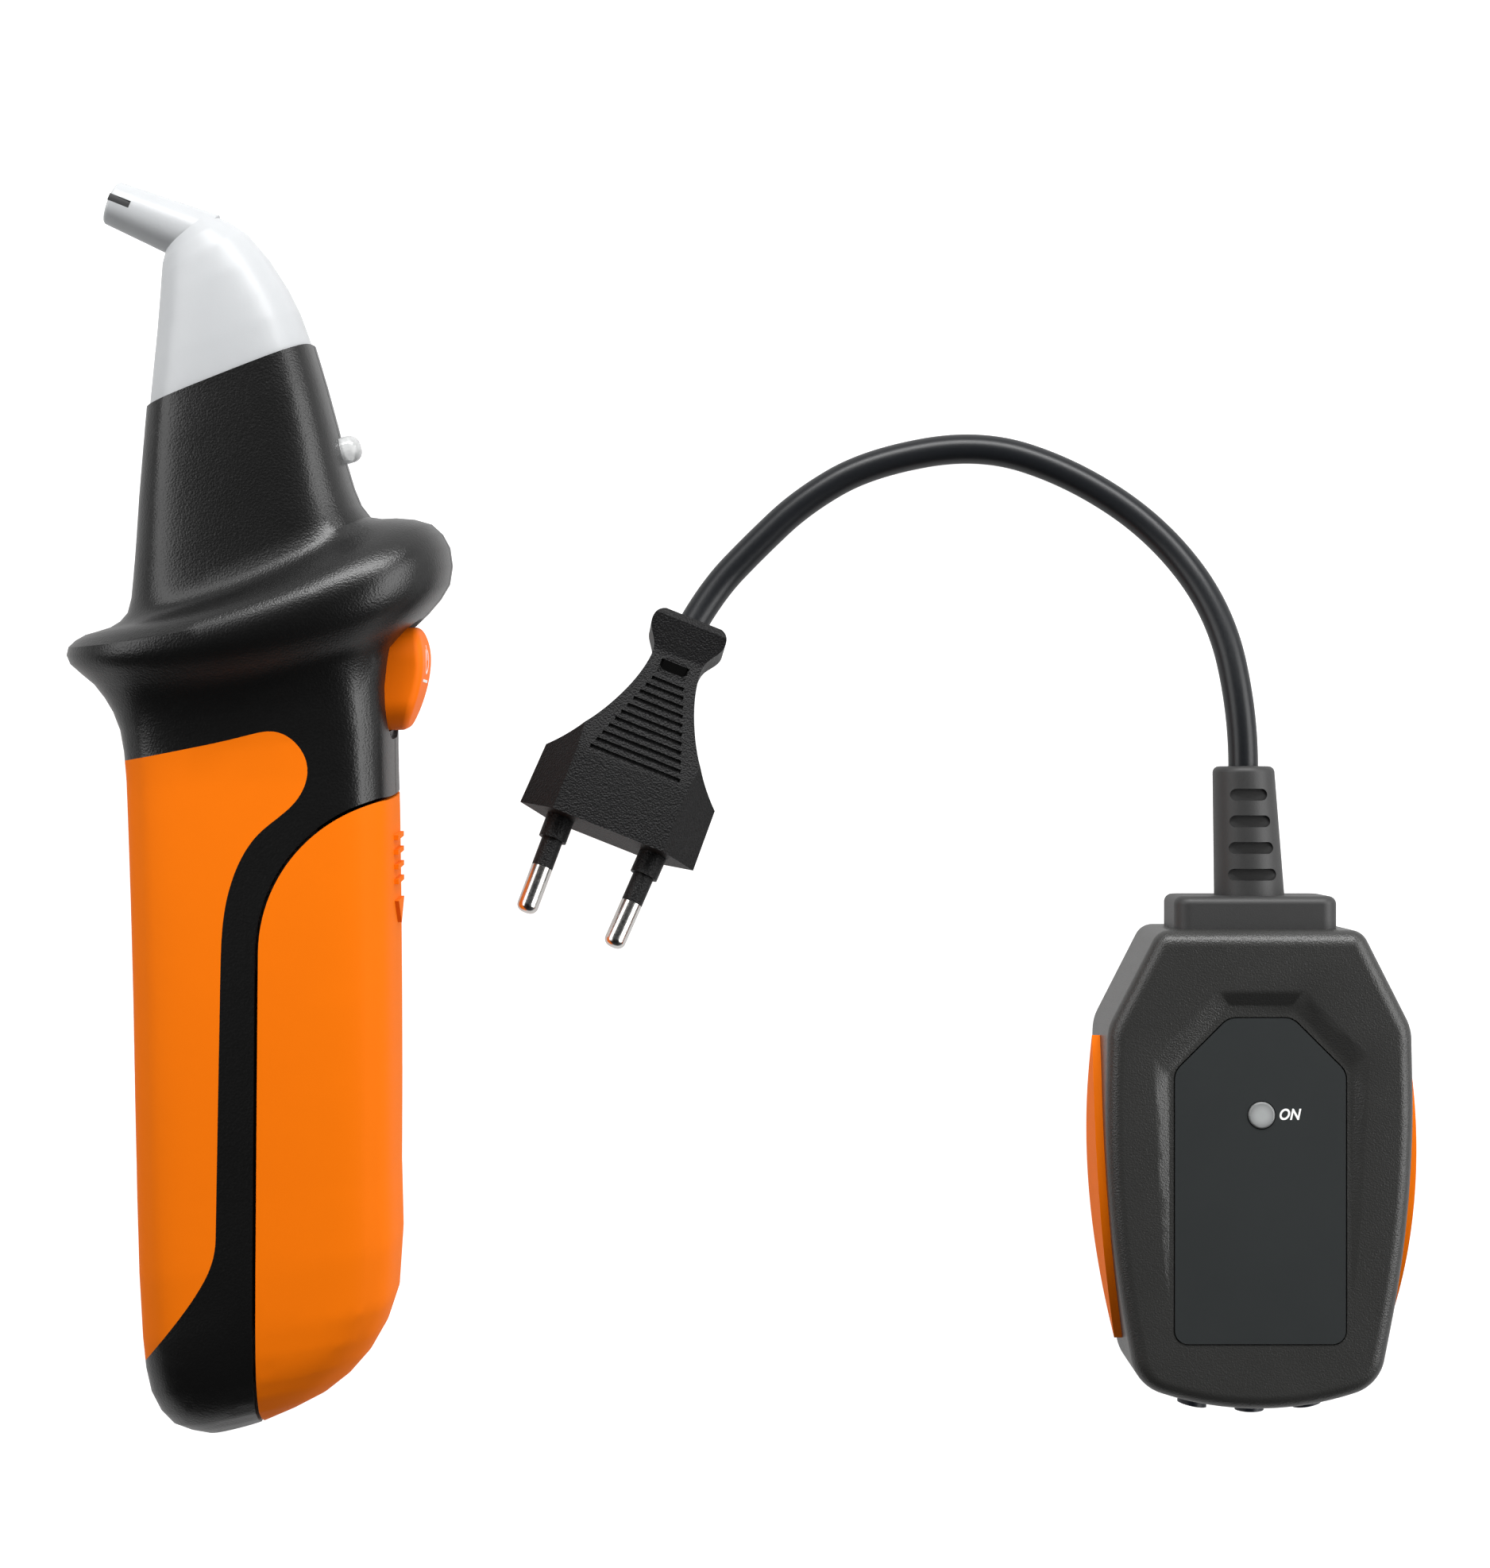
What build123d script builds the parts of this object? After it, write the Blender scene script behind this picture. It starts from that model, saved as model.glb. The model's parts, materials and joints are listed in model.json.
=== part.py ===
from build123d import *
import os
from collections import namedtuple
from math import atan2, copysign, cos, degrees, hypot, pi, radians, sin, tan

# A circuit breaker finder. The receiver is a wand that is swept over a distribution board; the
# transmitter is plugged into the socket whose breaker is looked for. They are two separate units,
# laid side by side on one surface. Millimetres, +Z up, with the origin on that surface under the
# middle of the two units, the cord and its plug not counted.

os.makedirs("parts", exist_ok=True)

# ---------------------------------------------------------------- where the units lie
RECEIVER_AT = (-88.13, 5.73)         # the wand's own origin: mid handle width, end of the grip top
TRANSMITTER_AT = (94.0, -108.94)    # the transmitter's own origin: middle of its lower end
PLUG_AT = (-26.0, -4.04)             # middle of the plug's pin face
PLUG_HEADING = 68.3                  # turn of the plug's axis, pin face to cord entry, from +X
PLUG_PITCH = 12.0                    # the stiff cord holds the pins up by this angle

# ---------------------------------------------------------------- both units
FIT = 0.15                # clearance of fixed pieces that slip into each other
RUN = 0.35                # clearance of pieces that move
REACH = 45.0              # past a unit on every side, for through cuts
BOARD_THICK = 1.6
BOSS_RADIUS = 4.2
SCREW_RADIUS = 1.45
SCREW_LONG = 16.0
SCREW_HEAD_RADIUS = 2.8
SCREW_HEAD_DEEP = 2.2
SCREW_HEAD_ROUND = 0.7
SCREW_SLOT = 0.8          # the cross in a screw's head: width, length and depth
SCREW_CROSS = 3.0
SCREW_CROSS_DEEP = 1.1
LED_DOME = 0.8            # share of a light's radius that its dome takes

# ---------------------------------------------------------------- receiver (x front, y up, z across)
HANDLE_HALF = 18.0        # half the handle, side to side
LIP_HALF = 25.8           # half the hand guard, side to side
NECK_HALF = 15.6          # half the neck above the guard
SEAM_HALF = 12.6          # half the neck where the nose seats on it
HOUSING_WALL = 2.2
FITTING_ROOT = 0.45       # bosses and clips are moulded into the wall by this
SKIN = 1.3                # thickness of the soft grip, flush in its pocket
GRIP_EDGE = -5.9          # the soft grip's straight edge, in x

COVER_EDGE = 0.8          # top of the battery cover's straight edge, in x
COVER_SLANT = 1.1         # how far that edge leans off the y direction, in degrees
COVER_TOP = -2.3          # highest point of the cover's upper edge, in y
COVER_FRONT = 24.0        # the cover's front face, in x
COVER_WALL = 2.0
COVER_GAP = 0.6           # open joint line round the cover
RIDGE_COUNT = 4           # thumb ridges on the cover
RIDGE_HALF = 4.6
RIDGE_THICK = 0.9
RIDGE_PROUD = 0.7
RIDGE_TOP = -9.5
RIDGE_PITCH = 2.7
ARROW_SIDE = 6.4
ARROW_TOP = -22.6

BATTERY_LENGTH = 46.4     # body; the studs add to it
BATTERY_WIDTH = 26.2
BATTERY_THICK = 17.2
BATTERY_CORNER = 2.0
BATTERY_FOOT = -96.5      # lower end of the battery, in y
STUD_RADIUS = 3.0
STUD_HEIGHT = 2.4
STUD_SPACING = 12.7
SNAP_THICK = 3.6
SNAP_LONG = 24.2
SNAP_WIDE = 12.4
BAY_WALL = 2.0            # wall between the battery and the electronics
RAIL_THICK = 1.2          # ribs beside and under the battery
RAIL_HIGH = 7.5
RAIL_ROOT = 1.5           # the ribs are moulded into the bay's wall by this
RAIL_LONG = 60.0

BUTTON_MID = 19.4         # middle of the button, in y
BUTTON_LONG = 18.6
BUTTON_HALF = 8.6         # half the button, side to side
BUTTON_CORNER = 6.0
BUTTON_FACE = 28.6        # the button's top corner, in x
BUTTON_FLOOR = 22.9       # floor of the scoop round the button, in x
BUTTON_SCOOP = 1.7        # the scoop is this much wider all round
BUTTON_ROUND = 1.6
BUTTON_TRAVEL = 1.0
BUTTON_LIP = 1.2          # retaining lip inside the housing
STEM_RADIUS = 2.2
SWITCH_BODY = 3.5
SWITCH_SIDE = 6.0
SWITCH_PLUNGER = 1.2
PLUNGER_RADIUS = 1.8

BOARD_FACE = 9.6          # front face of the receiver board, in x
BOARD_LOW = -4.0
BOARD_HIGH = 66.0
BOARD_HALF = 9.6
BOARD_CLIPS = (2.0, 46.0)
CLIP_WIDE = 3.0
CLIP_DEEP = 4.8
CLIP_GRIP = 1.4           # how far a clip reaches over the board's edge
CHIPS = ((34.0, 9.0, 7.0, 1.4), (50.0, 5.0, 4.0, 1.2), (-1.0, 4.0, 5.0, 1.2))
BUZZER_Y = 8.0
BUZZER_RADIUS = 6.0
BUZZER_HIGH = 6.5
BUZZER_PORT_RADIUS = 1.2
BUZZER_PORT_DEEP = 2.2

LED_RADIUS = 2.5
LED_AT = (15.1, 61.0)     # where the signal light comes through the neck
LED_TILT = 16.2           # its axis above the front direction
LED_DEEP = 4.2
LED_PROUD = 2.9
LED_RIM = 0.4
NOSE_LED_RADIUS = 1.5
NOSE_LED_SIDE = 4.5
NOSE_LED_LONG = 7.0
NOSE_LED_BELOW = 4.2      # the nose lights start this far below the board's end

SEAM_AT = (-5.1, 74.4)   # a point of the neck to nose seam
SEAM_TILT = 21.3
NOSE_STEP = 0.6           # the nose stands back from the neck by this
NOSE_WALL = 2.2           # from the neck's outside to the nose's inside
SPIGOT_DEPTH = 5.0        # the nose's ring goes this far into the neck
SPIGOT_WALL = 1.2
SPIGOT_ROOT = 0.9         # the ring is moulded into the nose's wall by this
TIP_AT = (-27.0, 105.8)   # middle of the tip's open end
TIP_TILT = 22.0           # the tip points up to the back by this angle
TIP_END_RADIUS = 4.0
TIP_ROOT_RADIUS = 5.2
TIP_LENGTH = 19.0         # end face to where the tube dies in the nose
TIP_WALL = 1.25
TIP_ROUND = 0.6
BLADE_LENGTH = 4.1
BLADE_THICK = 1.3
BLADE_OVER = 0.75         # the blade lies above the tip's axis by this
CORE_RADIUS = 1.3
CORE_LONG = 14.0
COIL_START = 1.5          # from the blade to the bobbin
COIL_LONG = 7.0
COIL_RADIUS = 2.2
BOBBIN_RADIUS = 2.6
BOBBIN_CHEEK = 0.8

SCREW_SEAT = 8.0          # the receiver's screw heads sit this far from its mid plane
RECEIVER_SCREWS = ((-13.5, -98.0), (-14.0, -32.0), (-14.0, 22.0), (-11.0, 60.0))

# ---------------------------------------------------------------- transmitter (x across, y to cord)
BODY_LENGTH = 88.0
BODY_HALF = 27.8          # half the width at the shoulders
BODY_BOW_HALF = 28.65     # half the width where the lines of the bowed sides would meet
BODY_TOP_HALF = 18.6      # half the flat end towards the cord
BODY_FOOT_HALF = 22.4
BODY_THICK = 30.0
BODY_SEAM = 15.0          # the two shells part at this height
BODY_WALL = 2.2
SHOULDER = 70.0           # where the sides turn in to the cord end
BODY_BOW = 37.5           # height of the bow
FOOT_RISE = 4.6           # how far the lower end's curve drops below its corners
FOOT_ROUND = 8.0
CROWN_ROUND = 3.5
SHOULDER_ROUND = 9.0
BOW_ROUND = 215.0
FACE_DROP = 2.0           # the face falls by this from the cord end to the label's level
FACE_FLAT = 20.0          # the face reaches the label's level here
FACE_EDGE = 3.0
BACK_EDGE = 2.5
SEAM_LIP = 1.1            # thickness and height of the tongue where the shells meet
SEAM_LIP_HIGH = 1.6

LABEL_HALF = 15.6
LABEL_LOW = 12.4
LABEL_HIGH = 71.9
LABEL_CORNER = 9.8
LABEL_ROUND = 2.4
LABEL_SOFT = 3.5          # rounding of the label's blunt corners
LABEL_THICK = 0.6
LABEL_GAP = 0.25
PANEL_WALL = 1.8          # front wall under the label
FLOOR_MARGIN = 1.0        # recess floor beside the label
FLOOR_OVER = 2.1          # and above it
RIM_FOOT_HALF = 18.6      # the recess where it rises out of the face
RIM_HALF = 20.4
RIM_SHOULDER = 65.5
RIM_TOP_HALF = 8.4
RIM_TOP = 77.6
RIM_OVER = 0.2            # the cut starts this much above the face

LENS_AT = (0.2, 54.2)
LENS_RADIUS = 2.45
LENS_PROUD = 0.4
LENS_LONG = 4.0
LENS_FLANGE = 1.0
POWER_LED_RADIUS = 1.5
POWER_LED_LONG = 8.0

GRIP_PROUD = 1.5
GRIP_DEEP = 1.2
GRIP_LOW = 11.3
GRIP_HIGH = 67.8
GRIP_HALF = 9.0           # half the side grip's tallest place
BUMPER_COUNT = 3
BUMPER_RADIUS = 2.7
BUMPER_PROUD = 1.0
BUMPER_SPACING = 10.7

TRANSMITTER_SCREWS = ((-17.5, 13.5), (17.5, 13.5), (-15.5, 75.5), (15.5, 75.5))
BODY_SCREW_SEAT = 6.0
POSTS = ((-17.0, 24.0), (17.0, 24.0), (-17.0, 65.5), (17.0, 65.5))
POST_RADIUS = 2.5
MAIN_BOARD_BACK = 9.0
MAIN_BOARD_MID = 44.5
MAIN_BOARD_WIDE = 44.0
MAIN_BOARD_LONG = 52.0
MAIN_BOARD_ROUND = 1.0
TRANSFORMER_AT = (8.0, 36.0)
TRANSFORMER_SIZE = (18.0, 16.0, 13.0)
CAPACITOR_AT = (-12.0, 38.0)
CAPACITOR_SIZE = (7.0, 18.0, 13.0)
CASE_ROUND = 0.8
FUSE_AT = (4.0, MAIN_BOARD_MID + MAIN_BOARD_LONG / 2 - 7.0)
FUSE_LONG = 20.0
FUSE_RADIUS = 2.6

COLLAR_HALF = 15.0        # strain relief's square collar
COLLAR_DEEP = 19.0
COLLAR_LONG = 6.0
COLLAR_ROUND = 3.0
COLLAR_EDGE = 1.5
NECK_BAR_HALF = 13.0      # the part of the strain relief that the shells clamp
NECK_BAR_HIGH = 7.0
FLANGE_OVER = 2.0
FLANGE_THICK = 2.0
SLEEVE_ROOT_RADIUS = 6.5
SLEEVE_END_RADIUS = 5.7
SLEEVE_LONG = 24.0
SLEEVE_SWAY = 1.1         # the cord draws the sleeve's end aside by this
SLEEVE_ROUND = 1.2
SLOT_COUNT = 4
SLOT_START = 3.9
SLOT_PITCH = 4.93
SLOT_HIGH = 2.2
SLOT_FLOOR = 4.4          # the slots' floors lie this far from the sleeve's axis
SLOT_ROOT_WIDE = 8.9
SLOT_END_WIDE = 6.9

# ---------------------------------------------------------------- plug (x to the cord, z up) and cord
PLUG_LONG = 44.0
PLUG_HALF_WIDTH = 17.4
PLUG_HALF_THICK = 6.85
PLUG_FLAT_HALF = 11.0     # the wide faces are flat this far from the middle
PLUG_BLOCK_LONG = 12.0
PLUG_WAIST_AT = 36.0
PLUG_WAIST_HALF_THICK = 4.3
PLUG_REAR_HALF_THICK = 5.4
PLUG_REAR_EDGE = 1.4
GROOVE_COUNT = 11
GROOVE_START = 13.6
GROOVE_PITCH = 1.68
GROOVE_WIDE = 0.8
GROOVE_DEEP = 0.6
GROOVE_ROOT_HALF = 9.0
GROOVE_END_HALF = 3.2
DIMPLE_AT = 33.3          # oval dimple across the plug's neck
DIMPLE_WIDE = 5.6
DIMPLE_LONG = 2.8
DIMPLE_DEEP = 0.6
PIN_SPACING = 18.6        # at the pin face
PIN_RADIUS = 2.0
PIN_LONG = 19.0
PIN_ROUND = 1.4
PIN_TOE = 1.8             # each pin leans in to the other by this angle
PIN_ROOT = 8.0            # the pins go this far into the plug
PIN_CORE_RADIUS = 1.4
PIN_SLEEVE_LONG = 10.0
PIN_COLLAR_RADIUS = 2.65
PIN_COLLAR_LONG = 4.4
CORD_RADIUS = 2.8


def keep(builder, label, seat=Location()):
    """Label a finished piece, seat it in the common frame and write its STEP file."""
    builder.part.label = label
    export_step(builder.part.moved(seat), f"parts/{label}.step")


# ================================================================ receiver housing
# Stations up the wand: back edge x y, front edge x y, half depth, dip of the middle, squareness
Station = namedtuple("Station", "back_x back_y front_x front_y half dip square")
FOOT_FORM = [
    Station(-12.2, -120.8, 1.0, -117.4, 5.0, 0.0, 2.4),
    Station(-18.3, -118.0, 11.5, -111.7, 11.8, 0.0, 2.8),
    Station(-21.8, -111.5, 18.9, -104.4, 15.4, 0.0, 3.4),
    Station(-22.9, -101.0, 23.3, -94.5, HANDLE_HALF - 1.0, 0.0, 4.0),
]
HANDLE_FORM = [
    Station(-23.4, -75.0, 23.8, -71.0, HANDLE_HALF - 0.4, 0.0, 4.4),
    Station(-23.5, -38.0, 24.0, -38.0, HANDLE_HALF, 0.0, 4.6),
    Station(-24.0, -6.0, 23.9, -6.0, HANDLE_HALF, 0.0, 4.6),
    Station(-24.6, 6.5, 23.7, 10.0, HANDLE_HALF + 0.2, 0.0, 4.4),
]
GUARD_FORM = [
    Station(-26.7, 13.6, 24.6, 25.5, HANDLE_HALF + 1.8, 1.0, 3.6),
    Station(-30.3, 18.6, 29.8, 31.2, LIP_HALF - 3.4, 2.6, 3.0),
    Station(-34.7, 22.3, 33.8, 36.6, LIP_HALF - 0.4, 3.3, 2.7),
    Station(-35.0, 25.3, 33.9, 43.3, LIP_HALF, 3.3, 2.7),
    Station(-32.0, 27.5, 30.6, 47.6, LIP_HALF - 3.0, 3.3, 2.7),
    Station(-27.6, 28.8, 24.4, 48.7, NECK_HALF + 2.8, 2.8, 2.8),
]
NECK_FORM = [
    Station(-24.4, 31.4, 19.4, 48.9, NECK_HALF + 0.6, 1.6, 3.0),
    Station(-23.2, 37.5, 16.4, 54.2, NECK_HALF - 0.2, 0.6, 3.2),
    Station(-21.9, 52.0, 13.6, 65.0, NECK_HALF - 1.4, 0.0, 3.4),
    Station(-20.2, 70.0, 9.1, 81.3, SEAM_HALF, 0.0, 3.4),
]
NOSE_FORM = [
    Station(-19.1, 82.4, 5.4, 90.4, SEAM_HALF - 1.8, 0.0, 2.8),
    Station(-18.4, 91.5, -1.9, 100.4, SEAM_HALF - 4.2, 0.0, 2.4),
    Station(-18.0, 96.6, -8.8, 104.4, 5.8, 0.0, 2.2),
]
FORM = FOOT_FORM + HANDLE_FORM + GUARD_FORM + NECK_FORM + NOSE_FORM
RING_SPANS = 8            # spans of each section's half outline


def station_knots():
    """Curve parameters of the stations, from the root of each step's length."""
    knots = [0.0]
    for low, high in zip(FORM, FORM[1:]):
        back = hypot(high.back_x - low.back_x, high.back_y - low.back_y)
        front = hypot(high.front_x - low.front_x, high.front_y - low.front_y)
        knots.append(knots[-1] + max(back, front) ** 0.5)
    return knots


KNOTS = station_knots()


def slope(index, field):
    """How fast one field of the stations changes at a station, as a smooth curve passes it."""
    low, high = max(index - 1, 0), min(index + 1, len(FORM) - 1)
    steps = [
        (FORM[i + 1][field] - FORM[i][field]) / (KNOTS[i + 1] - KNOTS[i]) for i in range(low, high)
    ]
    if len(steps) == 1:
        return steps[0]
    before, after = KNOTS[index] - KNOTS[low], KNOTS[high] - KNOTS[index]
    return (steps[0] * after + steps[1] * before) / (before + after)


def between(index, share):
    """The station a share of the way from one station to the next, on a smooth curve."""
    if not share:
        return FORM[index]
    gap = KNOTS[index + 1] - KNOTS[index]
    square, cube = share**2, share**3
    fields = []
    for field, (low, high) in enumerate(zip(FORM[index], FORM[index + 1])):
        value = low * (2 * cube - 3 * square + 1) + high * (3 * square - 2 * cube)
        value += gap * slope(index, field) * (cube - 2 * square + share)
        value += gap * slope(index + 1, field) * (cube - square)
        fields.append(value)
    return Station(*fields)


def ring(station, inset, shift=0.0):
    """One closed section of the housing, drawn in by an inset and moved along the wand."""
    back = Vector(station.back_x, station.back_y)
    front = Vector(station.front_x, station.front_y)
    across = (front - back).normalized()
    along = Vector(-across.Y, across.X)
    middle = (back + front) * 0.5 + along * shift
    half_long = (front - back).length / 2 - inset
    half_deep = station.half - inset
    power = 2 / station.square

    def at(step, side):
        angle = pi * step / RING_SPANS
        reach = half_long * copysign(abs(cos(angle)) ** power, cos(angle))
        depth = half_deep * sin(angle) ** power if 0 < step < RING_SPANS else 0.0
        dip = station.dip * (1 - (reach / half_long) ** 2)
        return middle + across * reach - along * dip + Vector(0, 0, side * depth)

    spans = [i / RING_SPANS for i in range(RING_SPANS + 1)]
    right = [at(i, 1) for i in range(RING_SPANS + 1)]
    left = [at(RING_SPANS - i, -1) for i in range(RING_SPANS + 1)]
    return Wire([Edge.make_spline(side, parameters=spans) for side in (right, left)])


def fine_form(steps=2):
    """The stations with more between them, for the outside."""
    shares = [step / steps for step in range(steps)]
    stations = [between(index, share) for index in range(len(FORM) - 1) for share in shares]
    return stations + [FORM[-1]]


def housing(stations, inset=0.0):
    """The receiver's form from foot to nose through the stations, drawn in by an inset."""
    rings = [ring(stations[0], inset, inset)]
    rings += [ring(station, inset) for station in stations[1:-1]]
    rings.append(ring(stations[-1], inset, -inset))
    return Solid.make_loft(rings, ruled=True)


OUTSIDE = fine_form()
INSIDE = FOOT_FORM + HANDLE_FORM + NECK_FORM + NOSE_FORM      # the guard's lip is solid

SEAM = Plane(
    origin=(*SEAM_AT, 0),
    x_dir=(cos(radians(SEAM_TILT)), sin(radians(SEAM_TILT)), 0),
    z_dir=(-sin(radians(SEAM_TILT)), cos(radians(SEAM_TILT)), 0),
)
TIP = Plane(
    origin=(*TIP_AT, 0),
    x_dir=(0, 0, 1),
    z_dir=(cos(radians(TIP_TILT)), -sin(radians(TIP_TILT)), 0),
)


def lean_angle():
    """How far the receiver leans when it lies on its guard and on the side of its foot."""
    points = [((s.back_y + s.front_y) / 2 - s.dip, s.half) for s in OUTSIDE]
    lip_y, lip_half = max(points, key=lambda point: point[1])
    below = [point for point in points if point[0] < lip_y - LIP_HALF]
    return min(degrees(atan2(lip_half - half, lip_y - height)) for height, half in below)


OUTER_FORM = housing(OUTSIDE)
INNER_FORM = housing(INSIDE, HOUSING_WALL)
WALL_FORM = housing(INSIDE, HOUSING_WALL - FITTING_ROOT)
SKIN_FORM = housing(INSIDE, SKIN)
COVER_FORM = housing(INSIDE, COVER_WALL)
NOSE_FORM_INSIDE = housing(INSIDE, NOSE_WALL)

LEAN = lean_angle()
RECEIVER_LIFT = -OUTER_FORM.rotate(Axis.X, LEAN).bounding_box().min.Z
RECEIVER_SEAT = Location((*RECEIVER_AT, RECEIVER_LIFT), (LEAN, 0, 0))

# ---------------------------------------------------------------- soft grip
with BuildPart() as grip_prism:
    with BuildSketch(Plane.XY.offset(-REACH)):
        with BuildLine():
            brow = Spline(
                (-REACH, 0.8), (-13.6, 7.1), (-0.8, 9.9), (4.9, 10.5), (9.9, 5.1), (8.3, -1.3),
                (1.2, -7.7), (-3.9, -16.9), (GRIP_EDGE, -33.3),
                tangents=((1, 0.2), (-0.03, -1)),
            )
            side = Line(brow @ 1, (GRIP_EDGE - 1.5, -80.9))
            tail = Spline(
                side @ 1, (-10.5, -90.3), (-19.5, -102.3), (-REACH, -134.0),
                tangents=(side % 1, (-0.65, -0.8)),
            )
            Line(tail @ 1, brow @ 0)
        make_face()
    extrude(amount=2 * REACH)

with BuildPart() as soft_grip:
    add(OUTER_FORM)
    add(grip_prism.part, mode=Mode.INTERSECT)
    add(SKIN_FORM, mode=Mode.SUBTRACT)


# ---------------------------------------------------------------- battery cover and its bay
def cover_prism(grow=0.0):
    """The battery cover's side view, grown all round and run right across the housing."""
    with BuildPart() as prism:
        with BuildSketch(Plane.XY.offset(-REACH)):
            with BuildLine():
                start = (COVER_EDGE + 0.1, COVER_TOP - 26.7)
                slant = tan(radians(COVER_SLANT))
                edge = Line((COVER_EDGE - 100 * slant, COVER_TOP - 126.7), start)
                rise = (COVER_EDGE + 5.2, COVER_TOP - 11.1)
                flank = TangentArc(edge @ 1, rise, tangent=edge % 1)
                crest = TangentArc(rise, (COVER_EDGE + 21.2, COVER_TOP), tangent=flank % 1)
                fall = (COVER_FRONT + 2.0, COVER_TOP - 3.6)
                brow = TangentArc(crest @ 1, fall, tangent=crest % 1)
                corner = (2 * REACH, COVER_TOP - 3.6)
                Polyline(brow @ 1, corner, (2 * REACH, COVER_TOP - 126.7), edge @ 0)
            make_face()
            if grow:
                offset(amount=grow)
        extrude(amount=2 * REACH)
    return prism.part


COVER_PRISM = cover_prism()
GAP_PRISM = cover_prism(COVER_GAP)
BAY_PRISM = cover_prism(COVER_GAP + BAY_WALL)
BAY_FACE = COVER_EDGE - COVER_GAP

with BuildPart() as battery_cover:
    add(OUTER_FORM)
    add(COVER_PRISM, mode=Mode.INTERSECT)
    add(COVER_FORM, mode=Mode.SUBTRACT)
    for row in range(RIDGE_COUNT):
        with Locations((COVER_FRONT, RIDGE_TOP - row * RIDGE_PITCH, 0)):
            Box(2 * RIDGE_PROUD, RIDGE_THICK, 2 * RIDGE_HALF)
    with BuildSketch(Plane.YZ.offset(COVER_FRONT - RIDGE_PROUD)):
        with Locations((ARROW_TOP, 0)):
            Triangle(a=2 * RIDGE_HALF, b=ARROW_SIDE, c=ARROW_SIDE, rotation=90)
    extrude(amount=2 * RIDGE_PROUD)

# ---------------------------------------------------------------- reset button
def button_prism(grow, start, end):
    """The button's front view, grown all round, from one depth to another."""
    with BuildPart() as prism:
        with BuildSketch(Plane.YZ.offset(start)):
            with Locations((BUTTON_MID, 0)):
                long, wide = BUTTON_LONG + 2 * grow, 2 * (BUTTON_HALF + grow)
                RectangleRounded(long, wide, BUTTON_CORNER + grow)
        extrude(amount=end - start)
    return prism.part


BUTTON_LOW = BUTTON_MID - BUTTON_LONG / 2
BUTTON_HIGH = BUTTON_MID + BUTTON_LONG / 2
LIP_FACE = BUTTON_FLOOR - HOUSING_WALL       # front of the retaining lip
SWITCH_FACE = BOARD_FACE + SWITCH_BODY + SWITCH_PLUNGER
BUTTON_BLANK = button_prism(0, 0, REACH)
BUTTON_FLANGE = button_prism(BUTTON_LIP, LIP_FACE - BUTTON_LIP, LIP_FACE)
BUTTON_DISH = button_prism(BUTTON_SCOOP, BUTTON_FLOOR, REACH)
BUTTON_HOLE = button_prism(RUN, 0, REACH)
FLANGE_POCKET = button_prism(BUTTON_LIP + RUN, 0, LIP_FACE + FIT)

with BuildPart() as reset_button:
    with BuildSketch(Plane.XY.offset(-BUTTON_HALF)):
        with BuildLine():
            crown = Spline(
                (BUTTON_FACE - 0.2, BUTTON_HIGH), (BUTTON_FACE + 1.1, BUTTON_MID + 2.4),
                (BUTTON_FACE - 0.4, BUTTON_MID - 4.6), (BUTTON_FACE - 2.2, BUTTON_LOW),
            )
            Polyline(crown @ 1, (LIP_FACE, BUTTON_LOW), (LIP_FACE, BUTTON_HIGH), crown @ 0)
        make_face()
    extrude(amount=2 * BUTTON_HALF)
    add(BUTTON_BLANK, mode=Mode.INTERSECT)
    crown_edges = reset_button.edges().filter_by_position(
        Axis.X, BUTTON_FACE - 2 * BUTTON_ROUND, REACH
    )
    fillet(crown_edges, BUTTON_ROUND)
    add(BUTTON_FLANGE)
    with BuildSketch(Plane.YZ.offset(LIP_FACE - BUTTON_LIP)):
        with Locations((BUTTON_MID, 0)):
            Circle(STEM_RADIUS)
    extrude(amount=SWITCH_FACE + BUTTON_TRAVEL + FIT - LIP_FACE + BUTTON_LIP)

# ---------------------------------------------------------------- receiver shells
with BuildPart() as hollow:
    add(INNER_FORM)
    add(BAY_PRISM, mode=Mode.SUBTRACT)

with BuildPart() as fittings:
    for x, y in RECEIVER_SCREWS:
        with Locations((x, y, 0)):
            Cylinder(BOSS_RADIUS, 2 * REACH)
    for y in BOARD_CLIPS:
        for side in (1, -1):
            with Locations((BOARD_FACE - BOARD_THICK / 2, y, side * (BOARD_HALF + REACH / 2))):
                Box(CLIP_DEEP, CLIP_WIDE, REACH + 2 * CLIP_GRIP)
    add(WALL_FORM, mode=Mode.INTERSECT)

with BuildPart() as cradle:
    for side in (1, -1):
        with Locations((BAY_FACE - RAIL_ROOT, BATTERY_FOOT, side * (BATTERY_WIDTH / 2 + FIT))):
            Box(
                RAIL_HIGH + RAIL_ROOT, RAIL_LONG, RAIL_THICK,
                align=(Align.MIN, Align.MIN, Align.MIN if side > 0 else Align.MAX),
            )
    with Locations((BAY_FACE - RAIL_ROOT, BATTERY_FOOT, 0)):
        Box(
            RAIL_HIGH + RAIL_ROOT, RAIL_THICK, BATTERY_WIDTH + 2 * (FIT + RAIL_THICK),
            align=(Align.MIN, Align.MAX, Align.CENTER),
        )

LED = Plane(
    origin=(*LED_AT, 0),
    x_dir=(0, 0, 1),
    z_dir=(cos(radians(LED_TILT)), sin(radians(LED_TILT)), 0),
)

with BuildPart() as receiver_board:
    with Locations((BOARD_FACE, BOARD_LOW, 0)):
        Box(
            BOARD_THICK, BOARD_HIGH - BOARD_LOW, 2 * BOARD_HALF,
            align=(Align.MAX, Align.MIN, Align.CENTER),
        )
    for y, long, wide, high in CHIPS:
        with Locations((BOARD_FACE, y, 0)):
            Box(high, long, wide, align=(Align.MIN, Align.CENTER, Align.CENTER))

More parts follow.
